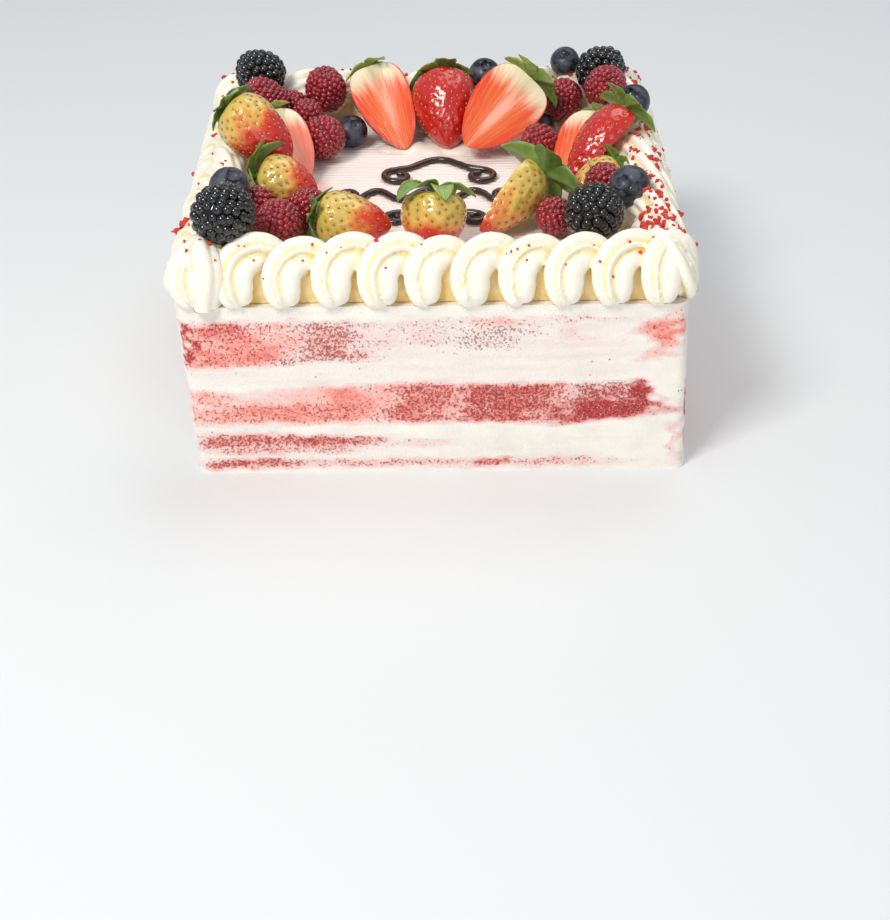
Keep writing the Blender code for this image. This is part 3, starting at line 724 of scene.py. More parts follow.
def side_relief(point, share):
    """How far the side stands out at a place: smears of the coat and pits in the bare crumb."""
    x, y, z = (value / MM for value in point)
    smear = noise.noise(Vector((x * 0.045, y * 0.045, z * 0.42)))
    drag = noise.noise(Vector((x * 0.35, y * 0.35, z * 1.3)))
    pit = noise.noise(Vector((x * 0.75, y * 0.75, z * 0.75)))
    return SMEAR_DEPTH * (smear + 0.35 * drag) - PIT_DEPTH * share * (0.4 + max(pit, -0.2))


def layer_piece(name, low, high, paint, slot):
    """One layer of the cake with its scraped side. The top one is a little lower, for the combed slab."""
    shape = bmesh.new()
    ring = bmesh.ops.create_circle(shape, cap_ends=True, segments=SIDE_POINTS, radius=1.0)["verts"]
    places = [rounded_square(index / SIDE_POINTS) for index in range(SIDE_POINTS)]
    for vert, (point, out) in zip(ring, places):
        vert.co = (point.x, point.y, 0.0)
    steps = max(3, round((high - low) / LAYER_STEP))
    verts = ring
    for _ in range(steps):
        verts = push(shape, verts, Matrix.Translation((0, 0, 1 / steps)))
    bmesh.ops.contextual_create(shape, geom=ring_edges(verts))
    shares = []
    for vert in shape.verts:
        flat = vert.co.xy
        inner = SIDE / 2 - CORNER_RADIUS
        core = Vector((min(max(flat.x, -inner), inner), min(max(flat.y, -inner), inner)))
        out = (flat - core).normalized()
        bottom = layer_height(low, flat.x, flat.y)
        top = layer_height(high, flat.x, flat.y)
        height = bottom + (top - bottom) * vert.co.z
        point = Vector((flat.x, flat.y, height))
        share = bare_share(point + Vector((lean(height), 0, 0)), out)
        shares.append(share)
        moved = flat + out * side_relief(point, share[2])
        vert.co = (moved.x + lean(height), moved.y, height)
    bmesh.ops.triangulate(shape, faces=[face for face in shape.faces if len(face.verts) > 4])
    bmesh.ops.recalc_face_normals(shape, faces=shape.faces)
    if name == "top_cream":
        for vert in shape.verts:
            if vert.co.z > HEIGHT - COMB_SEAT / 4:
                vert.co.z = HEIGHT - COMB_SEAT
    made = piece(name + "_fine", shape, [paint], slot, name)
    for index, kind in enumerate(("pink", "deep", "grain")):
        set_attribute(made.data, kind, [share[index] for share in shares])
    made.data.set_sharp_from_angle(angle=math.radians(50))
    return made


def combed_top(paint):
    """The combed cream in the middle of the top: ridges that run from side to side."""
    shape = bmesh.new()
    bmesh.ops.create_grid(shape, x_segments=64, y_segments=460, size=COMB_HALF)
    smears = []
    spot_x, spot_y, half_width, half_length = SMEAR_SPOT
    for vert in shape.verts:
        x, y = vert.co.x, vert.co.y
        drift = 0.0003 * noise.noise(Vector((x * 22, y * 60, 3)))
        phase = math.pi * (y + drift) / COMB_PITCH
        ridge = abs(math.sin(phase)) ** 0.6
        swell = 0.00025 * noise.noise(Vector((x * 30, y * 30, 1)))
        vert.co.z = HEIGHT - COMB_DEPTH * (1 - ridge) + swell
        spot = math.hypot((x - spot_x) / half_width, (y - spot_y) / half_length)
        smears.append(0.55 * (1 - ease(spot, 0.3, 1.0)))
        vert.co.x += lean(HEIGHT)
    bmesh.ops.solidify(shape, geom=shape.faces[:], thickness=COMB_THICKNESS)
    bmesh.ops.recalc_face_normals(shape, faces=shape.faces)
    smears += [0.0] * (len(shape.verts) - len(smears))
    made = piece("combed_top", shape, [paint], "cream")
    set_attribute(made.data, "smear", smears)
    return made


# One shell: places of the rope's middle as along, up and out, its half widths, and its roll
ROPE = (
    (-0.0004, 0.0002, 0.0014, 0.0044, 0.0040, 4),
    (-0.0020, 0.0046, 0.0026, 0.0070, 0.0064, 2),
    (-0.0026, 0.0110, 0.0016, 0.0078, 0.0072, 0),
    (-0.0002, 0.0158, -0.0010, 0.0078, 0.0074, -2),
    (0.0046, 0.0180, -0.0042, 0.0076, 0.0073, -4),
    (0.0092, 0.0162, -0.0070, 0.0073, 0.0070, -6),
    (0.0124, 0.0108, -0.0086, 0.0067, 0.0064, -8),
    (0.0136, 0.0032, -0.0090, 0.0058, 0.0057, -8),
    (0.0138, -0.0004, -0.0092, 0.0064, 0.0060, -8),
)
# The rope's ridges: angles round it from the row's right through outwards, and how far each stands
# out. The groove at the split lies elsewhere on each shell
RIDGE_SPLIT = 80
RIDGES = (
    (-58, -6, 0.93),
    (-6, 58, 1.10),
    (58, RIDGE_SPLIT, 0.98),
    (RIDGE_SPLIT, 204, 1.05),
    (204, 255, 0.96),
    (255, 302, 0.94),
)
ROPE_SIDES = 72
ROPE_STEPS = 5
GROOVE_SHALLOW = 0.20
GROOVE_DEEP = 0.54
RIDGE_ROUND = 0.62
# The bed under the shells, seen from the row's end: distance from the cake's side inwards, and height
BED_SECTION = ((0.0030, -0.002), (0.0260, -0.002), (0.0255, 0.0012), (0.0180, 0.0065), (0.0130, 0.0125),
               (0.0090, 0.0150), (0.0050, 0.0110), (0.0032, 0.0040))
BED_SHORT = 0.006


def rope_section(draw):
    """One shell's own half width, for an angle in degrees and a part of the way along the rope."""
    shift = draw.uniform(-12, 14)
    strength = draw.uniform(0.85, 1.12)
    ridges = []
    for low, high, stand in RIDGES:
        low += shift if low == RIDGE_SPLIT else 0
        high += shift if high == RIDGE_SPLIT else 0
        ridges.append((low, high, stand * draw.uniform(0.97, 1.03)))

    def reach(degrees, part):
        if degrees < ridges[0][0]:
            degrees += 360
        depth = GROOVE_DEEP + (GROOVE_SHALLOW - GROOVE_DEEP) * ease(part, 0.42, 0.65)
        for low, high, stand in ridges:
            if low <= degrees < high:
                bulge = math.sin(math.pi * (degrees - low) / (high - low)) ** RIDGE_ROUND
                return stand * (1 - depth * strength * (1 - bulge))
        return 1.0

    return reach


def rope(shape, middle, size, tilt, draw, short=1.0):
    """One piped shell on the border's line: X along it, Y into the cake, Z up from the coat."""
    rise = Vector((0, math.sin(tilt), math.cos(tilt)))
    along = Vector((1, 0, 0))
    out = along.cross(rise)
    points = [along * (s * size * short) + rise * (h * size) + out * (o * size) for s, h, o, *_ in ROPE]
    centres = smooth_route(points, ROPE_STEPS)
    widths = smooth_route([Vector((side, depth, roll)) for _, _, _, side, depth, roll in ROPE], ROPE_STEPS)
    foot = Vector((middle, BORDER_IN, 0))
    sway = draw.uniform(-0.14, 0.14)
    stations = []
    for index, (centre, width) in enumerate(zip(centres, widths)):
        before = centres[max(index - 1, 0)]
        after = centres[min(index + 1, len(centres) - 1)]
        ahead = (after - before).normalized()
        side = ahead.cross(-out)
        side = (side - ahead * side.dot(ahead)).normalized()
        face = ahead.cross(side)
        if face.dot(out) < 0:
            face.negate()
        turn = Matrix.Rotation(math.radians(width.z) + sway, 3, ahead)
        stations.append(station(foot + centre, turn @ side, turn @ face, width.x * size, width.y * size))
    part = bmesh.new()
    tube(part, stations, ROPE_SIDES, rope_section(draw))
    merge(shape, part)


def border_row(name, quarter_turns, paint):
    """One side of the border: fluted shells on their common bed, melted together."""
    draw = random.Random(BORDER_SEED + quarter_turns)
    shape = bmesh.new()
    first = -SHELL_PITCH * (SHELLS_PER_SIDE - 1) / 2
    for index in range(SHELLS_PER_SIDE):
        middle = first + index * SHELL_PITCH + draw.uniform(-0.0006, 0.0006)
        size = draw.uniform(0.97, 1.06)
        tilt = BORDER_TILT + math.radians(draw.uniform(-3, 3))
        last = index == SHELLS_PER_SIDE - 1
        rope(shape, middle, size, tilt, draw, 0.55 if last else 1.0)
    reach = SIDE / 2 - BED_SHORT
    bed = [shape.verts.new((-reach, y, z)) for y, z in BED_SECTION]
    face = shape.faces.new(bed)
    grown = bmesh.ops.extrude_face_region(shape, geom=[face])
    moved = [item for item in grown["geom"] if isinstance(item, bmesh.types.BMVert)]
    bmesh.ops.translate(shape, verts=moved, vec=(2 * reach, 0, 0))
    bmesh.ops.recalc_face_normals(shape, faces=shape.faces)
    turn = Matrix.Rotation(math.radians(90 * quarter_turns), 4, "Z")
    place = Matrix.Translation((LEAN_TOP, 0, HEIGHT)) @ turn @ Matrix.Translation((0, -SIDE / 2, 0))
    bmesh.ops.transform(shape, matrix=place, verts=shape.verts)
    made = piece(name + "_fine", shape, [paint], "cream", name)
    melted(made, 1)
    roughen(made.data)
    # How deep each point lies in a fold, which sets its painted shade
    set_attribute(made.data, "hollow", hollows(made.data))
    return made


def cream_lumps(paint):
    """Dabs of cream that hold the fruit, melted into one another."""
    shape = bmesh.new()
    for x, y, width, height in LUMPS:
        grown = bmesh.ops.create_icosphere(shape, subdivisions=3, radius=0.5)["verts"]
        bmesh.ops.scale(shape, vec=Vector((width, width * 0.8, height * 2)) * MM, verts=grown)
        bmesh.ops.translate(shape, verts=grown, vec=Vector((x * MM, y * MM, HEIGHT - COMB_SEAT)))
    bmesh.ops.bisect_plane(shape, geom=shape.verts[:] + shape.edges[:] + shape.faces[:],
                           plane_co=(0, 0, HEIGHT - 0.0006), plane_no=(0, 0, -1), clear_outer=True)
    bmesh.ops.holes_fill(shape, edges=shape.edges[:])
    made = piece("cream_lumps", shape, [paint], "cream")
    melted(made, 3)
    set_attribute(made.data, "hollow", [0.3] * len(made.data.vertices))


def roughen(mesh):
    """Give the cream its slight unevenness, and keep it off the coat below."""
    points = point_array(mesh, "co")
    normals = point_array(mesh, "normal")
    for index, point in enumerate(points):
        place = Vector(point) / MM
        swell = 0.16 * noise.noise(place * 0.35) + 0.06 * noise.noise(place * 1.3)
        point += normals[index] * swell * MM
    points[:, 2] = np.maximum(points[:, 2], HEIGHT - 0.0001)
    mesh.vertices.foreach_set("co", points.ravel())
    mesh.update()


# The blur that finds the hollows, which set the cream's painted shade: its rounds, and the depth that counts
# as a full fold. Then the height up to which the folds between the shells' feet count as deeper, and so get
# deeper painted shade, and how softly that ends
HOLLOW_ROUNDS = 26
HOLLOW_REACH = 0.0009
FOOT_HEIGHT = 0.011
FOOT_SOFT = 0.003


def point_array(mesh, name):
    """A three-part value of every point of the mesh, one row each."""
    values = np.empty(len(mesh.vertices) * 3)
    mesh.vertices.foreach_get(name, values)
    return values.reshape(-1, 3)


def hollows(mesh):
    """How deep each point lies below its surroundings: 0.5 is level, 1 is a deep fold.

    The folds between the feet of the shells count as deeper, and those high up as shallower, so the painted
    shade is deepest at the feet.
    """
    count = len(mesh.vertices)
    points = point_array(mesh, "co")
    normals = point_array(mesh, "normal")
    edges = np.empty(len(mesh.edges) * 2, np.int64)
    mesh.edges.foreach_get("vertices", edges)
    one, two = edges.reshape(-1, 2).T
    ends = np.concatenate([one, two])
    starts = np.concatenate([two, one])
    links = np.maximum(np.bincount(ends, minlength=count), 1)
    blurred = points.copy()
    for _ in range(HOLLOW_ROUNDS):
        sums = [np.bincount(ends, blurred[starts, axis], count) for axis in range(3)]
        blurred = np.stack(sums, 1) / links[:, None]
    depth = ((blurred - points) * normals).sum(1) / HOLLOW_REACH
    above = np.clip((points[:, 2] - HEIGHT) / FOOT_HEIGHT, 0.0, 1.0)
    inside = SIDE / 2 - np.maximum(np.abs(points[:, 0] - LEAN_TOP), np.abs(points[:, 1]))
    fold = np.clip(inside / FOOT_SOFT, 0.0, 1.0) * np.clip((FOOT_HEIGHT - inside) / FOOT_SOFT, 0.0, 1.0)
    fold *= 1 - above
    return np.clip(0.5 + 0.5 * depth * (1 - 0.4 * above) + 0.4 * fold, 0.0, 1.0)


def spiral(centre, start_angle, turns, wide, narrow, steps, mirror=1):
    """Points of a curl from its outer end to its inner end."""
    points = []
    for step in range(steps + 1):
        part = step / steps
        angle = start_angle + mirror * 2 * math.pi * turns * part
        reach = wide + (narrow - wide) * part ** 0.8
        points.append((centre[0] + reach * math.cos(angle), centre[1] + reach * math.sin(angle)))
    return points


def bracket_scroll(middle_x, middle_y, width, height):
    """Two mirrored curls joined by an arch, as one line."""
    curl = height * 0.30
    right_centre = (width / 2 - curl, 0)
    right = spiral(right_centre, math.radians(90), 1.05, curl, curl * 0.34, 12, -1)
    arch = []
    for step in range(1, 8):
        part = step / 8
        rise = height * 0.42 * math.sin(math.pi * part) ** 2
        arch.append((right_centre[0] * (2 * part - 1), curl + rise))
    left = [(-x, y) for x, y in right]
    route = list(reversed(left)) + arch + right
    return [(middle_x + x, middle_y + y) for x, y in route]


def wave_scroll(middle_x, middle_y, width, height):
    """A running wave, mirrored about its middle, that ends in a curl on either side."""
    curl = height * 0.34
    swing = height * 0.23
    run = width - 4 * curl
    steps = 20
    wave = []
    for step in range(1, steps):
        part = step / steps
        wave.append((run * (part - 0.5), swing * math.cos(2 * math.pi * 2.5 * (part - 0.5))))
    right = spiral((run / 2 + curl, 0), math.radians(180), 1.15, curl, curl * 0.34, 12, 1)
    left = [(-x, y) for x, y in right]
    route = list(reversed(left)) + wave + right
    return [(middle_x + x, middle_y + y) for x, y in route]


def scroll_piece(name, route, paint, seed):
    """A piped chocolate line along the route, a little thicker here and thinner there."""
    draw = random.Random(seed)
    lift = STROKE_RADIUS * 0.80
    points = [Vector((x, y, HEIGHT + lift + draw.uniform(-0.00004, 0.00004))) for x, y in route]
    centres = smooth_route(points, 4)
    stations = []
    up = Vector((0, 0, 1))
    count = len(centres)
    for index, centre in enumerate(centres):
        ahead = (centres[min(index + 1, count - 1)] - centres[max(index - 1, 0)]).normalized()
        side = up.cross(ahead).normalized()
        face = ahead.cross(side)
        end = min(index, count - 1 - index)
        width = STROKE_RADIUS * (1 + 0.13 * noise.noise(centre * 260)) * (0.45 + 0.55 * ease(end, -1, 3))
        if index % 17 == 8:
            width *= 1.1
        stations.append(station(centre, side, face, width, width * 0.92))
    shape = bmesh.new()
    tube(shape, stations, 14)
    bmesh.ops.recalc_face_normals(shape, faces=shape.faces)
    return piece(name + "_fine", shape, [paint], "chocolate", name)


def frame_from(axis, face=None):
    """A rotation that takes +Z to the axis and +X as near to the face direction as it goes."""
    up = axis.normalized()
    side = Vector(face) if face else Vector((0.3, -0.8, 0.5))
    side = (side - up * side.dot(up)).normalized()
    other = up.cross(side)
    return Matrix((side, other, up)).transposed().to_4x4()


def spun(shape, profile, sides):
    """Turn a profile of reach and height round the Z axis into a closed skin."""
    verts = [shape.verts.new((reach, 0, height)) for reach, height in profile]
    edges = [shape.edges.new(pair) for pair in zip(verts, verts[1:])]
    bmesh.ops.spin(shape, geom=verts + edges, cent=(0, 0, 0), axis=(0, 0, 1), angle=2 * math.pi,
                   steps=sides, use_merge=True)
    bmesh.ops.remove_doubles(shape, verts=shape.verts, dist=0.00001)
    bmesh.ops.recalc_face_normals(shape, faces=shape.faces)


def berry_reach(part):
    """Half width of a strawberry at a part of its length from the tip, for a width of one."""
    part = min(max(part, 0.0), 1.0)
    return FLESH_SWELL / 2 * part ** TIP_SHARE * (1 - part) ** CROWN_SHARE


def seed_places(across, long, draw):
    """Even places for seeds over the skin, as angle and part of the length."""
    parts = [0.05 + 0.88 * step / 200 for step in range(201)]
    weights = [berry_reach(part) for part in parts]
    total = sum(weights)
    count = int(total / 201 * 2 * math.pi * across * long * 0.9 / SEED_SPREAD)
    places = []
    passed = 0.0
    index = 0
    for part, weight in zip(parts, weights):
        passed += weight / total * count
        while index < passed:
            angle = index * GOLDEN_ANGLE + draw.uniform(-0.14, 0.14)
            places.append((angle, part + draw.uniform(-0.008, 0.008)))
            index += 1
    return places


def berry_seeds(across, long, halved, index):
    """Place and direction of each seed, none of them on the half that is cut away."""
    seeds = []
    for angle, part in seed_places(across, long, random.Random(index)):
        radius = across * berry_reach(part) * unevenness(angle, part, index)
        slope = (berry_reach(part + 0.02) - berry_reach(part - 0.02)) * across / (0.04 * long)
        point = Vector((radius * math.cos(angle), radius * math.sin(angle), long * part))
        normal = Vector((math.cos(angle), math.sin(angle), -slope)).normalized()
        if not halved or point.x <= -CUT_MARGIN:
            seeds.append((point, normal))
    return seeds


def press_pits(shape, long, seeds, index):
    """Make the berry uneven and sink a pit under each seed."""
    pits = KDTree(len(seeds))
    for number, (point, _) in enumerate(seeds):
        pits.insert(point, number)
    pits.balance()
    depths = {}
    for vert in shape.verts:
        angle = math.atan2(vert.co.y, vert.co.x)
        swell = unevenness(angle, vert.co.z / long, index)
        vert.co.x *= swell
        vert.co.y *= swell
        distance = pits.find(vert.co)[2]
        depths[vert] = math.exp(-(distance / PIT_REACH) ** 2)
    shape.normal_update()
    moves = [(vert, vert.normal * (PIT_SINK * depths[vert])) for vert in shape.verts]
    for vert, move in moves:
        vert.co -= move
    # How deep each point lies in a pit, which sets the painted shade of the skin there
    pit_layer = shape.verts.layers.float["pit"]
    for vert in shape.verts:
        vert[pit_layer] = depths[vert]


def halve(shape):
    """Cut away the half of a berry towards +X and close it with a face of flesh."""
    everything = shape.verts[:] + shape.edges[:] + shape.faces[:]
    cut = bmesh.ops.bisect_plane(shape, geom=everything, plane_co=(0, 0, 0), plane_no=(1, 0, 0),
                                 clear_outer=True)
    rim = [item for item in cut["geom_cut"] if isinstance(item, bmesh.types.BMEdge)]
    for side in bmesh.ops.contextual_create(shape, geom=rim)["faces"]:
        side.material_index = 2


def ripen(shape, across, long, ripeness, index):
    """Store how ripe the berry is at each point, and where the point lies in it."""
    ripe_layer = shape.verts.layers.float["ripe"]
    berry_layer = shape.verts.layers.float_vector["berry"]
    for vert in shape.verts:
        part = vert.co.z / long
        cloud = 0.22 * noise.noise(vert.co * 110 + Vector((index, 0, 0)))
        vert[ripe_layer] = 1 - 0.92 * ease(part + cloud, ripeness - 0.30, ripeness + 0.32)
        vert[berry_layer] = (vert.co.x / across, vert.co.y / across, part)


def strawberry(row, paints, index):
    """A whole or halved strawberry with seeds in pits, and its green star as a second piece."""
    name, tip, crown, across, face, leaves, reach, droop, spin_angle, ripeness = row
    across *= MM
    tip = Vector(tip) * MM
    crown = Vector(crown) * MM
    long = (crown - tip).length
    shape = bmesh.new()
    shape.verts.layers.float.new("pit")
    shape.verts.layers.float.new("ripe")
    shape.verts.layers.float_vector.new("berry")
    parts = [0.5 - 0.5 * math.cos(math.pi * step / BERRY_ROWS) for step in range(BERRY_ROWS + 1)]
    spun(shape, [(across * berry_reach(part), long * part) for part in parts], BERRY_SIDES)
    seeds = berry_seeds(across, long, bool(face), index)
    press_pits(shape, long, seeds, index)
    if face:
        halve(shape)
    for first in range(0, len(seeds), SEED_BATCH):
        merge(shape, seed_grains(seeds[first:first + SEED_BATCH]))
    ripen(shape, across, long, ripeness, index)
    place = Matrix.Translation(tip) @ frame_from(crown - tip, face)
    bmesh.ops.transform(shape, matrix=place, verts=shape.verts)
    slot = [item["material_slot"] for item in frame["record"]["subparts"] if item["node"] == name][0]
    body = piece(name + "_fine", shape, [paints["skin"], paints["seed"], paints["flesh"]], slot, name)
    body.data.set_sharp_from_angle(angle=math.radians(55))
    shift = -across * STAR_SHIFT if face else 0.0
    top = Matrix.Translation((shift, 0, long * STAR_HEIGHT))
    star_place = place @ top @ Matrix.Rotation(spin_angle, 4, "Z")
    draw = random.Random(index)
    leaf_star(name + "_leaves", star_place, across, leaves, reach * MM, droop, draw, paints["leaf"])


def seed_grains(seeds):
    """Pointed seeds that lie on the skin, each at its place and along its normal."""
    grains = bmesh.new()
    for point, normal in seeds:
        grain = bmesh.ops.create_icosphere(grains, subdivisions=1, radius=SEED_RADIUS)["verts"]
        side = normal.cross(Vector((0, 0, 1))).normalized()
        stand = Matrix((side, side.cross(normal), normal)).transposed().to_4x4()
        placed = Matrix.Translation(point - normal * SEED_REST) @ stand @ Matrix.Diagonal(SEED_SHAPE)
        bmesh.ops.transform(grains, matrix=placed, verts=grain)
    for face in grains.faces:
        face.material_index = 1
    return grains


def unevenness(angle, part, index):
    """A strawberry isn't quite round: the factor on its reach at an angle and a height."""
    return 1 + 0.05 * noise.noise(Vector((math.cos(angle), math.sin(angle), part * 3 + index)))


def leaf_star(name, place, across, leaves, reach, droop, draw, paint):
    """The green star of a strawberry: curved pointed leaves and a stub of the stalk."""
    shape = bmesh.new()
    vein_layer = shape.verts.layers.float.new("vein")
    tone_layer = shape.verts.layers.float.new("tone")
    hub = across * HUB_SHARE
    for leaf in range(leaves):
        angle = 2 * math.pi * leaf / leaves + draw.uniform(-0.08, 0.08)
        length = reach * draw.uniform(0.8, 1.15)
        fall = droop * draw.uniform(0.5, 1.4)
        twist = draw.uniform(-0.25, 0.25)
        half = min(length * math.tan(math.pi / leaves * 0.75) * 0.95, length * 0.40)
        tone = random.Random(leaf * 7 + int(across * 1e5)).uniform(0.2, 0.8)
        grown = bmesh.ops.create_grid(shape, x_segments=12, y_segments=6, size=0.5)["verts"]
        for vert in grown:
            t = vert.co.x + 0.5
            side = vert.co.y * 2
            ribs = max(0.0, math.sin(t * 26 - abs(side) * 5))
            vert[vein_layer] = max(0.0, 1 - abs(side) * 5) + 0.35 * ribs
            vert[tone_layer] = tone
            width = half * math.sin(math.pi * min(t * 0.88 + 0.12, 1.0)) ** 0.7
            out = hub * 0.4 + (length + hub * 0.6) * t
            rise = across * 0.10 * (1 - t) + length * (0.34 * t ** 0.8 - fall * t * t)
            fold = abs(side) * width * 0.35 + LEAF_RIPPLE * math.sin(t * 19 + leaf) * side
            turned = angle + twist * t * 0.5
            vert.co = (out * math.cos(turned) - side * width * math.sin(turned),
                       out * math.sin(turned) + side * width * math.cos(turned), rise + fold + LEAF_LIFT)
    faces = shape.faces[:]
    bmesh.ops.solidify(shape, geom=faces, thickness=LEAF_THICKNESS)
    low, high, tall = STALK
    stub = bmesh.ops.create_cone(shape, cap_ends=True, segments=10, radius1=low, radius2=high, depth=tall)
    stub = stub["verts"]
    bmesh.ops.translate(shape, verts=stub, vec=(0, 0, across * 0.10 + tall * 0.3))
    for vert in stub:
        vert[tone_layer] = 0.75
    bmesh.ops.transform(shape, matrix=place, verts=shape.verts)
    bmesh.ops.recalc_face_normals(shape, faces=shape.faces)
    return piece(name, shape, [paint], "leaf")


def beaded_berry(row, slot, paint, bead, sink, index):
    """A berry of round beads in staggered rings, on a core that lies a share of a bead down."""
    name, centre, across, long, axis = row
    draw = random.Random(100 + index)
    across *= MM
    long *= MM
    shape = bmesh.new()
    shape.verts.layers.float.new("tone")
    profile = []
    for step in range(17):
        part = step / 16
        girth = core_reach(part) * (across / 2 - bead * sink)
        profile.append((girth, -long / 2 * 0.92 * math.cos(math.pi * part)))
    spun(shape, profile, 24)
    rows = max(5, round(long * 1.35 / (bead * 1.62)))
    for ring in range(rows + 1):
        part = (ring + 0.25) / (rows + 0.6)
        girth = core_reach(part) * (across / 2 - bead * 0.75)
        height = -(long / 2 - bead * 0.8) * math.cos(math.pi * part)
        bead_ring(shape, girth, height, bead, 0.5 * (ring % 2), draw)
    place = Matrix.Translation(Vector(centre) * MM) @ frame_from(Vector(axis))
    bmesh.ops.transform(shape, matrix=place, verts=shape.verts)
    return piece(name + "_fine", shape, [paint], slot, name)


def bead_ring(shape, girth, height, bead, start, draw):
    """A ring of beads round the Z axis at a height, each with its own size and tone."""
    ring = bmesh.new()
    tone_layer = ring.verts.layers.float.new("tone")
    count = max(1, round(2 * math.pi * girth / (bead * 1.72)))
    for step in range(count):
        angle = 2 * math.pi * (step + start) / count + draw.uniform(-0.06, 0.06)
        swell = bead * draw.uniform(0.88, 1.1)
        grown = bmesh.ops.create_icosphere(ring, subdivisions=2, radius=swell)["verts"]
        level = height + draw.uniform(-0.0002, 0.0002)
        spot = Vector((girth * math.cos(angle), girth * math.sin(angle), level))
        bmesh.ops.translate(ring, verts=grown, vec=spot)
        tone = draw.uniform(0.15, 0.85)
        for vert in grown:
            vert[tone_layer] = tone
    merge(shape, ring)


def core_reach(part):
    """Half width of a beaded berry at a part of its length, for a half width of one."""
    return math.sin(math.pi * part) ** 0.72 * (1.06 - 0.14 * part) if 0 < part < 1 else 0.0


def blueberry(row, paint, index):
    """A flattened ball with a ragged crown round a dent."""
    name, centre, across, axis = row
    across *= MM
    draw = random.Random(200 + index)
    shape = bmesh.new()
    route = smooth_route([Vector((reach, 0, height)) for reach, height in BLUEBERRY_PROFILE], 2)
    spun(shape, [(max(point.x, 0.0) * across / 2, point.z * across) for point in route], 50)
    for vert in shape.verts:
        angle = math.atan2(vert.co.y, vert.co.x)
        ring = math.hypot(vert.co.x, vert.co.y) / (across / 2)
        if vert.co.z > 0.42 * across and 0.3 < ring < 0.42:
            vert.co.z += across * 0.028 * math.cos(5 * angle)
            vert.co.x *= 1 + 0.10 * math.cos(5 * angle)
            vert.co.y *= 1 + 0.10 * math.cos(5 * angle)
        vert.co += vert.co.normalized() * 0.0002 * noise.noise(vert.co * 200 + Vector((index, 3, 1)))
    spin = Matrix.Rotation(draw.random() * 6, 4, "Z")
    place = Matrix.Translation(Vector(centre) * MM) @ frame_from(Vector(axis)) @ spin
    bmesh.ops.transform(shape, matrix=place, verts=shape.verts)
    return piece(name + "_fine", shape, [paint], "blueberry", name)


# Crumbs, in millimetres: from x, to x, from y, to y, how many, from what size, to what size
CRUMB_PATCHES = (
    (84, 108, -96, 96, 150, 0.7, 2.0),
    (84, 94, -60, 60, 70, 0.7, 2.0),
    (80, 92, -84, -66, 36, 1.2, 2.8),
    (84, 100, -84, -50, 26, 0.8, 2.0),
    (-108, -86, -95, 30, 40, 0.8, 2.6),
    (-107, -96, -72, -60, 12, 1.4, 3.0),
    (-106, -84, 30, 95, 22, 0.8, 2.4),
    (-96, 92, -103, -90, 30, 0.6, 1.6),
    (96, 100, -106, -98, 4, 1.2, 2.0),
    (-60, -30, 88, 102, 16, 0.8, 2.4),
    (-14, 12, 86, 102, 26, 0.9, 2.6),
    (12, 60, 88, 104, 14, 0.6, 1.6),
    (60, 100, 84, 104, 70, 0.8, 2.4),
)
# A crumb's length, width and thickness as shares of its size, from and to, and how far it is lifted
CRUMB_STRETCH = ((0.8, 1.7), (0.7, 1.2), (0.6, 1.05))
CRUMB_LIFT = 0.24


def crumbs(hosts, paint):
    """Red crumbs that lie on the border."""
    draw = random.Random(SEED)
    trees = []
    for host in hosts:
        shape = bmesh.new()
        shape.from_mesh(host.data)
        trees.append(BVHTree.FromBMesh(shape))
        shape.free()
    shape = bmesh.new()
    for x0, x1, y0, y1, count, small, large in CRUMB_PATCHES:
        for _ in range(count):
            x = draw.uniform(x0, x1) * MM
            y = draw.uniform(y0, y1) * MM
            size = (small + (large - small) * draw.random() ** 2.2) * MM
            start = Vector((x, y, 0.2))
            hits = [tree.ray_cast(start, Vector((0, 0, -1))) for tree in trees]
            hits = [hit for hit in hits if hit[0]]
            if not hits:
                continue
            point, normal, _, _ = max(hits, key=lambda hit: hit[0].z)
            grown = bmesh.ops.create_icosphere(shape, subdivisions=2, radius=size * 0.62)["verts"]
            for vert in grown:
                rough = noise.noise(vert.co / size * 2.2 + Vector((x * 900, y * 900, 0)))
                vert.co *= 1 + 0.75 * rough
            spin = Matrix.Rotation(draw.uniform(0, 6.28), 4, normal)
            stretch = [draw.uniform(*limits) for limits in CRUMB_STRETCH]
            lifted = Matrix.Translation(point + normal * size * CRUMB_LIFT)
            turned = lifted @ spin @ frame_from(normal) @ Matrix.Diagonal((*stretch, 1.0))
            bmesh.ops.transform(shape, matrix=turned, verts=grown)
    made = piece("crumbs", shape, [paint], "crumb")
    made.data.shade_flat()
    return made


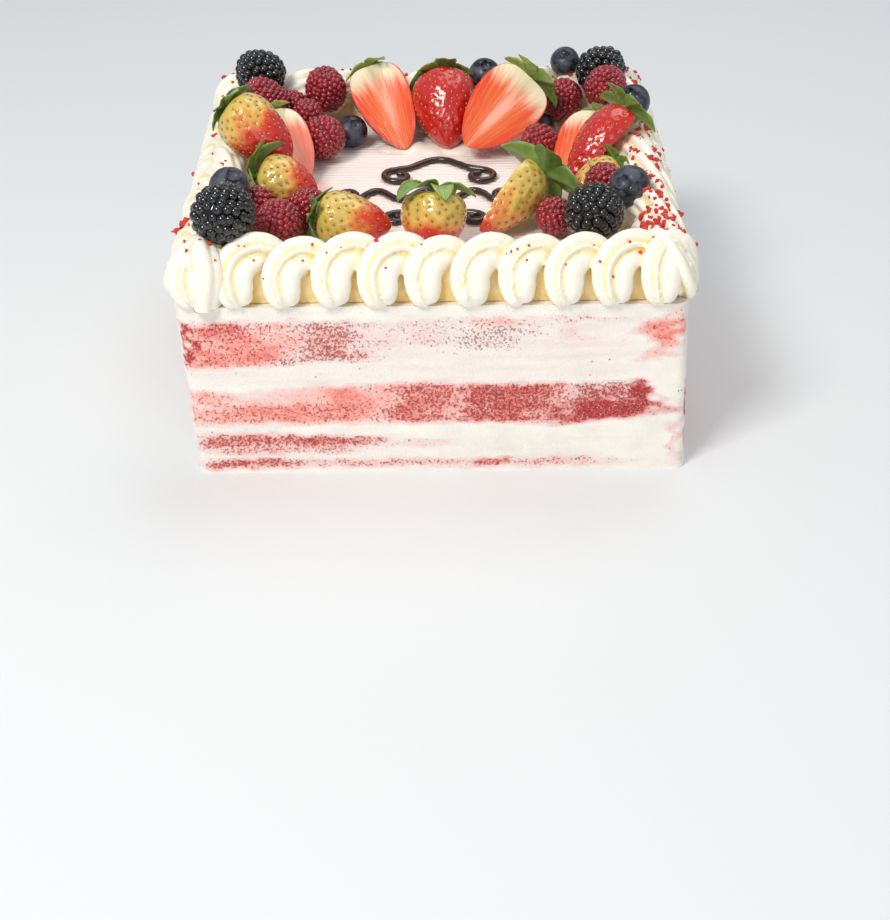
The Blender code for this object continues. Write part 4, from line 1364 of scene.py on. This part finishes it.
def build():
    """Make every piece of the cake."""
    cream = cream_paint()
    coat = coat_paint()
    low = 0.0
    for name, high, slot in LAYERS:
        layer_piece(name, low, high, coat, slot)
        low = high
    combed_top(comb_paint())
    rows = []
    for quarter, side in enumerate(("front", "right", "back", "left")):
        rows.append(border_row("shell_row_" + side, quarter, cream))
    cream_lumps(cream)
    chocolate = chocolate_paint()
    scroll_piece("scroll_far", bracket_scroll(0.002, 0.020, 0.052, 0.026), chocolate, 1)
    scroll_piece("scroll_middle", wave_scroll(-0.004, 0.000, 0.080, 0.020), chocolate, 2)
    scroll_piece("scroll_near", bracket_scroll(0.000, -0.024, 0.044, 0.018), chocolate, 3)
    black = bead_paint("bramble_beads", rgb(5, 6, 8), rgb(16, 16, 20), 0.16, rgb(60, 56, 66), 0.10)
    for index, row in enumerate(BRAMBLES):
        beaded_berry(row, "bramble", black, BEAD_BRAMBLE, 0.9, index)
    # On the raspberries the pale pink veil is painted sheen as well as dust
    red = bead_paint("raspberry_beads", rgb(118, 8, 22), rgb(172, 24, 40), 0.24, rgb(200, 90, 108), 0.22)
    for index, row in enumerate(RASPBERRIES):
        beaded_berry(row, "raspberry", red, BEAD_RASPBERRY, 0.5, 10 + index)
    blue = blueberry_paint()
    for index, row in enumerate(BLUEBERRIES):
        blueberry(row, blue, index)
    paints = {"skin": skin_paint(), "seed": seed_paint(), "flesh": flesh_paint(), "leaf": leaf_paint()}
    for index, row in enumerate(STRAWBERRIES):
        strawberry(row, paints, index)
    crumbs(rows, crumb_paint())


# The photograph's camera: place in metres, angles in radians, and the focal length in pixels. Then
# the studio round the cake
CAMERA_PLACE = (0.00194, -0.67807, 0.38232)
CAMERA_DOWN = 0.57809
CAMERA_YAW = 0.00238
CAMERA_ROLL = -0.00852
FOCAL_PIXELS = 1683.4
FRAME_HEIGHT = 920
SENSOR = 36.0
FLOOR_HALF = 30.0
WORLD_COLOUR = (0.92, 0.96, 1.0, 1.0)
WORLD_STRENGTH = 0.44
# Lamps: place, point they look at, width, power and colour
LAMPS = {
    "key": ((-0.55, -0.75, 1.15), (0, 0, 0.06), 0.42, 12.5, (1.0, 0.975, 0.94)),
    "top": ((0.25, 0.45, 1.2), (0, 0, 0.06), 0.8, 4.2, (1.0, 1.0, 1.0)),
    "fill": ((0.35, -1.5, 0.35), (0, 0, 0.05), 0.9, 3.6, (1.0, 0.98, 0.95)),
}


def add_camera():
    """The camera at the photograph's place."""
    lens = bpy.data.cameras.new("camera")
    lens.sensor_fit = "VERTICAL"
    lens.sensor_height = SENSOR
    lens.lens = FOCAL_PIXELS * SENSOR / FRAME_HEIGHT
    lens.clip_start = 0.01
    made = bpy.data.objects.new("camera", lens)
    level = math.cos(CAMERA_DOWN)
    ahead = Vector((math.sin(CAMERA_YAW) * level, math.cos(CAMERA_YAW) * level, -math.sin(CAMERA_DOWN)))
    right = Vector((math.cos(CAMERA_YAW), -math.sin(CAMERA_YAW), 0))
    up = right.cross(ahead)
    rolled_right = right * math.cos(CAMERA_ROLL) + up * math.sin(CAMERA_ROLL)
    rolled_up = up * math.cos(CAMERA_ROLL) - right * math.sin(CAMERA_ROLL)
    turned = Matrix((rolled_right, rolled_up, -ahead)).transposed().to_4x4()
    made.matrix_world = Matrix.Translation(CAMERA_PLACE) @ turned
    bpy.context.scene.collection.objects.link(made)
    bpy.context.scene.camera = made


def add_light(name, place, aim, size, power, colour):
    """A soft square lamp that looks at a point."""
    lamp = bpy.data.lights.new(name, "AREA")
    lamp.shape = "SQUARE"
    lamp.size = size
    lamp.energy = power
    lamp.color = colour
    made = bpy.data.objects.new(name, lamp)
    turned = (Vector(place) - Vector(aim)).to_track_quat("Z", "Y").to_matrix().to_4x4()
    made.matrix_world = Matrix.Translation(place) @ turned
    bpy.context.scene.collection.objects.link(made)


def add_studio():
    """Pale floor, pale surroundings and soft lamps."""
    shape = bmesh.new()
    bmesh.ops.create_grid(shape, x_segments=1, y_segments=1, size=FLOOR_HALF)
    mesh = bpy.data.meshes.new("floor")
    shape.to_mesh(mesh)
    shape.free()
    floor = bpy.data.objects.new("floor", mesh)
    bpy.context.scene.collection.objects.link(floor)
    paint = Paint("floor", Roughness=0.7)
    paint.set(Base_Color=paint.mix(paint.noise(0.8), rgb(226, 229, 230), rgb(230, 232, 233)))
    mesh.materials.append(paint.material)
    world = bpy.data.worlds.new("studio")
    world.use_nodes = True
    background = world.node_tree.nodes["Background"]
    background.inputs["Color"].default_value = WORLD_COLOUR
    background.inputs["Strength"].default_value = WORLD_STRENGTH
    bpy.context.scene.world = world
    for name, lamp in LAMPS.items():
        add_light(name, *lamp)


bpy.context.scene.view_settings.view_transform = "Standard"
build()
add_camera()
add_studio()
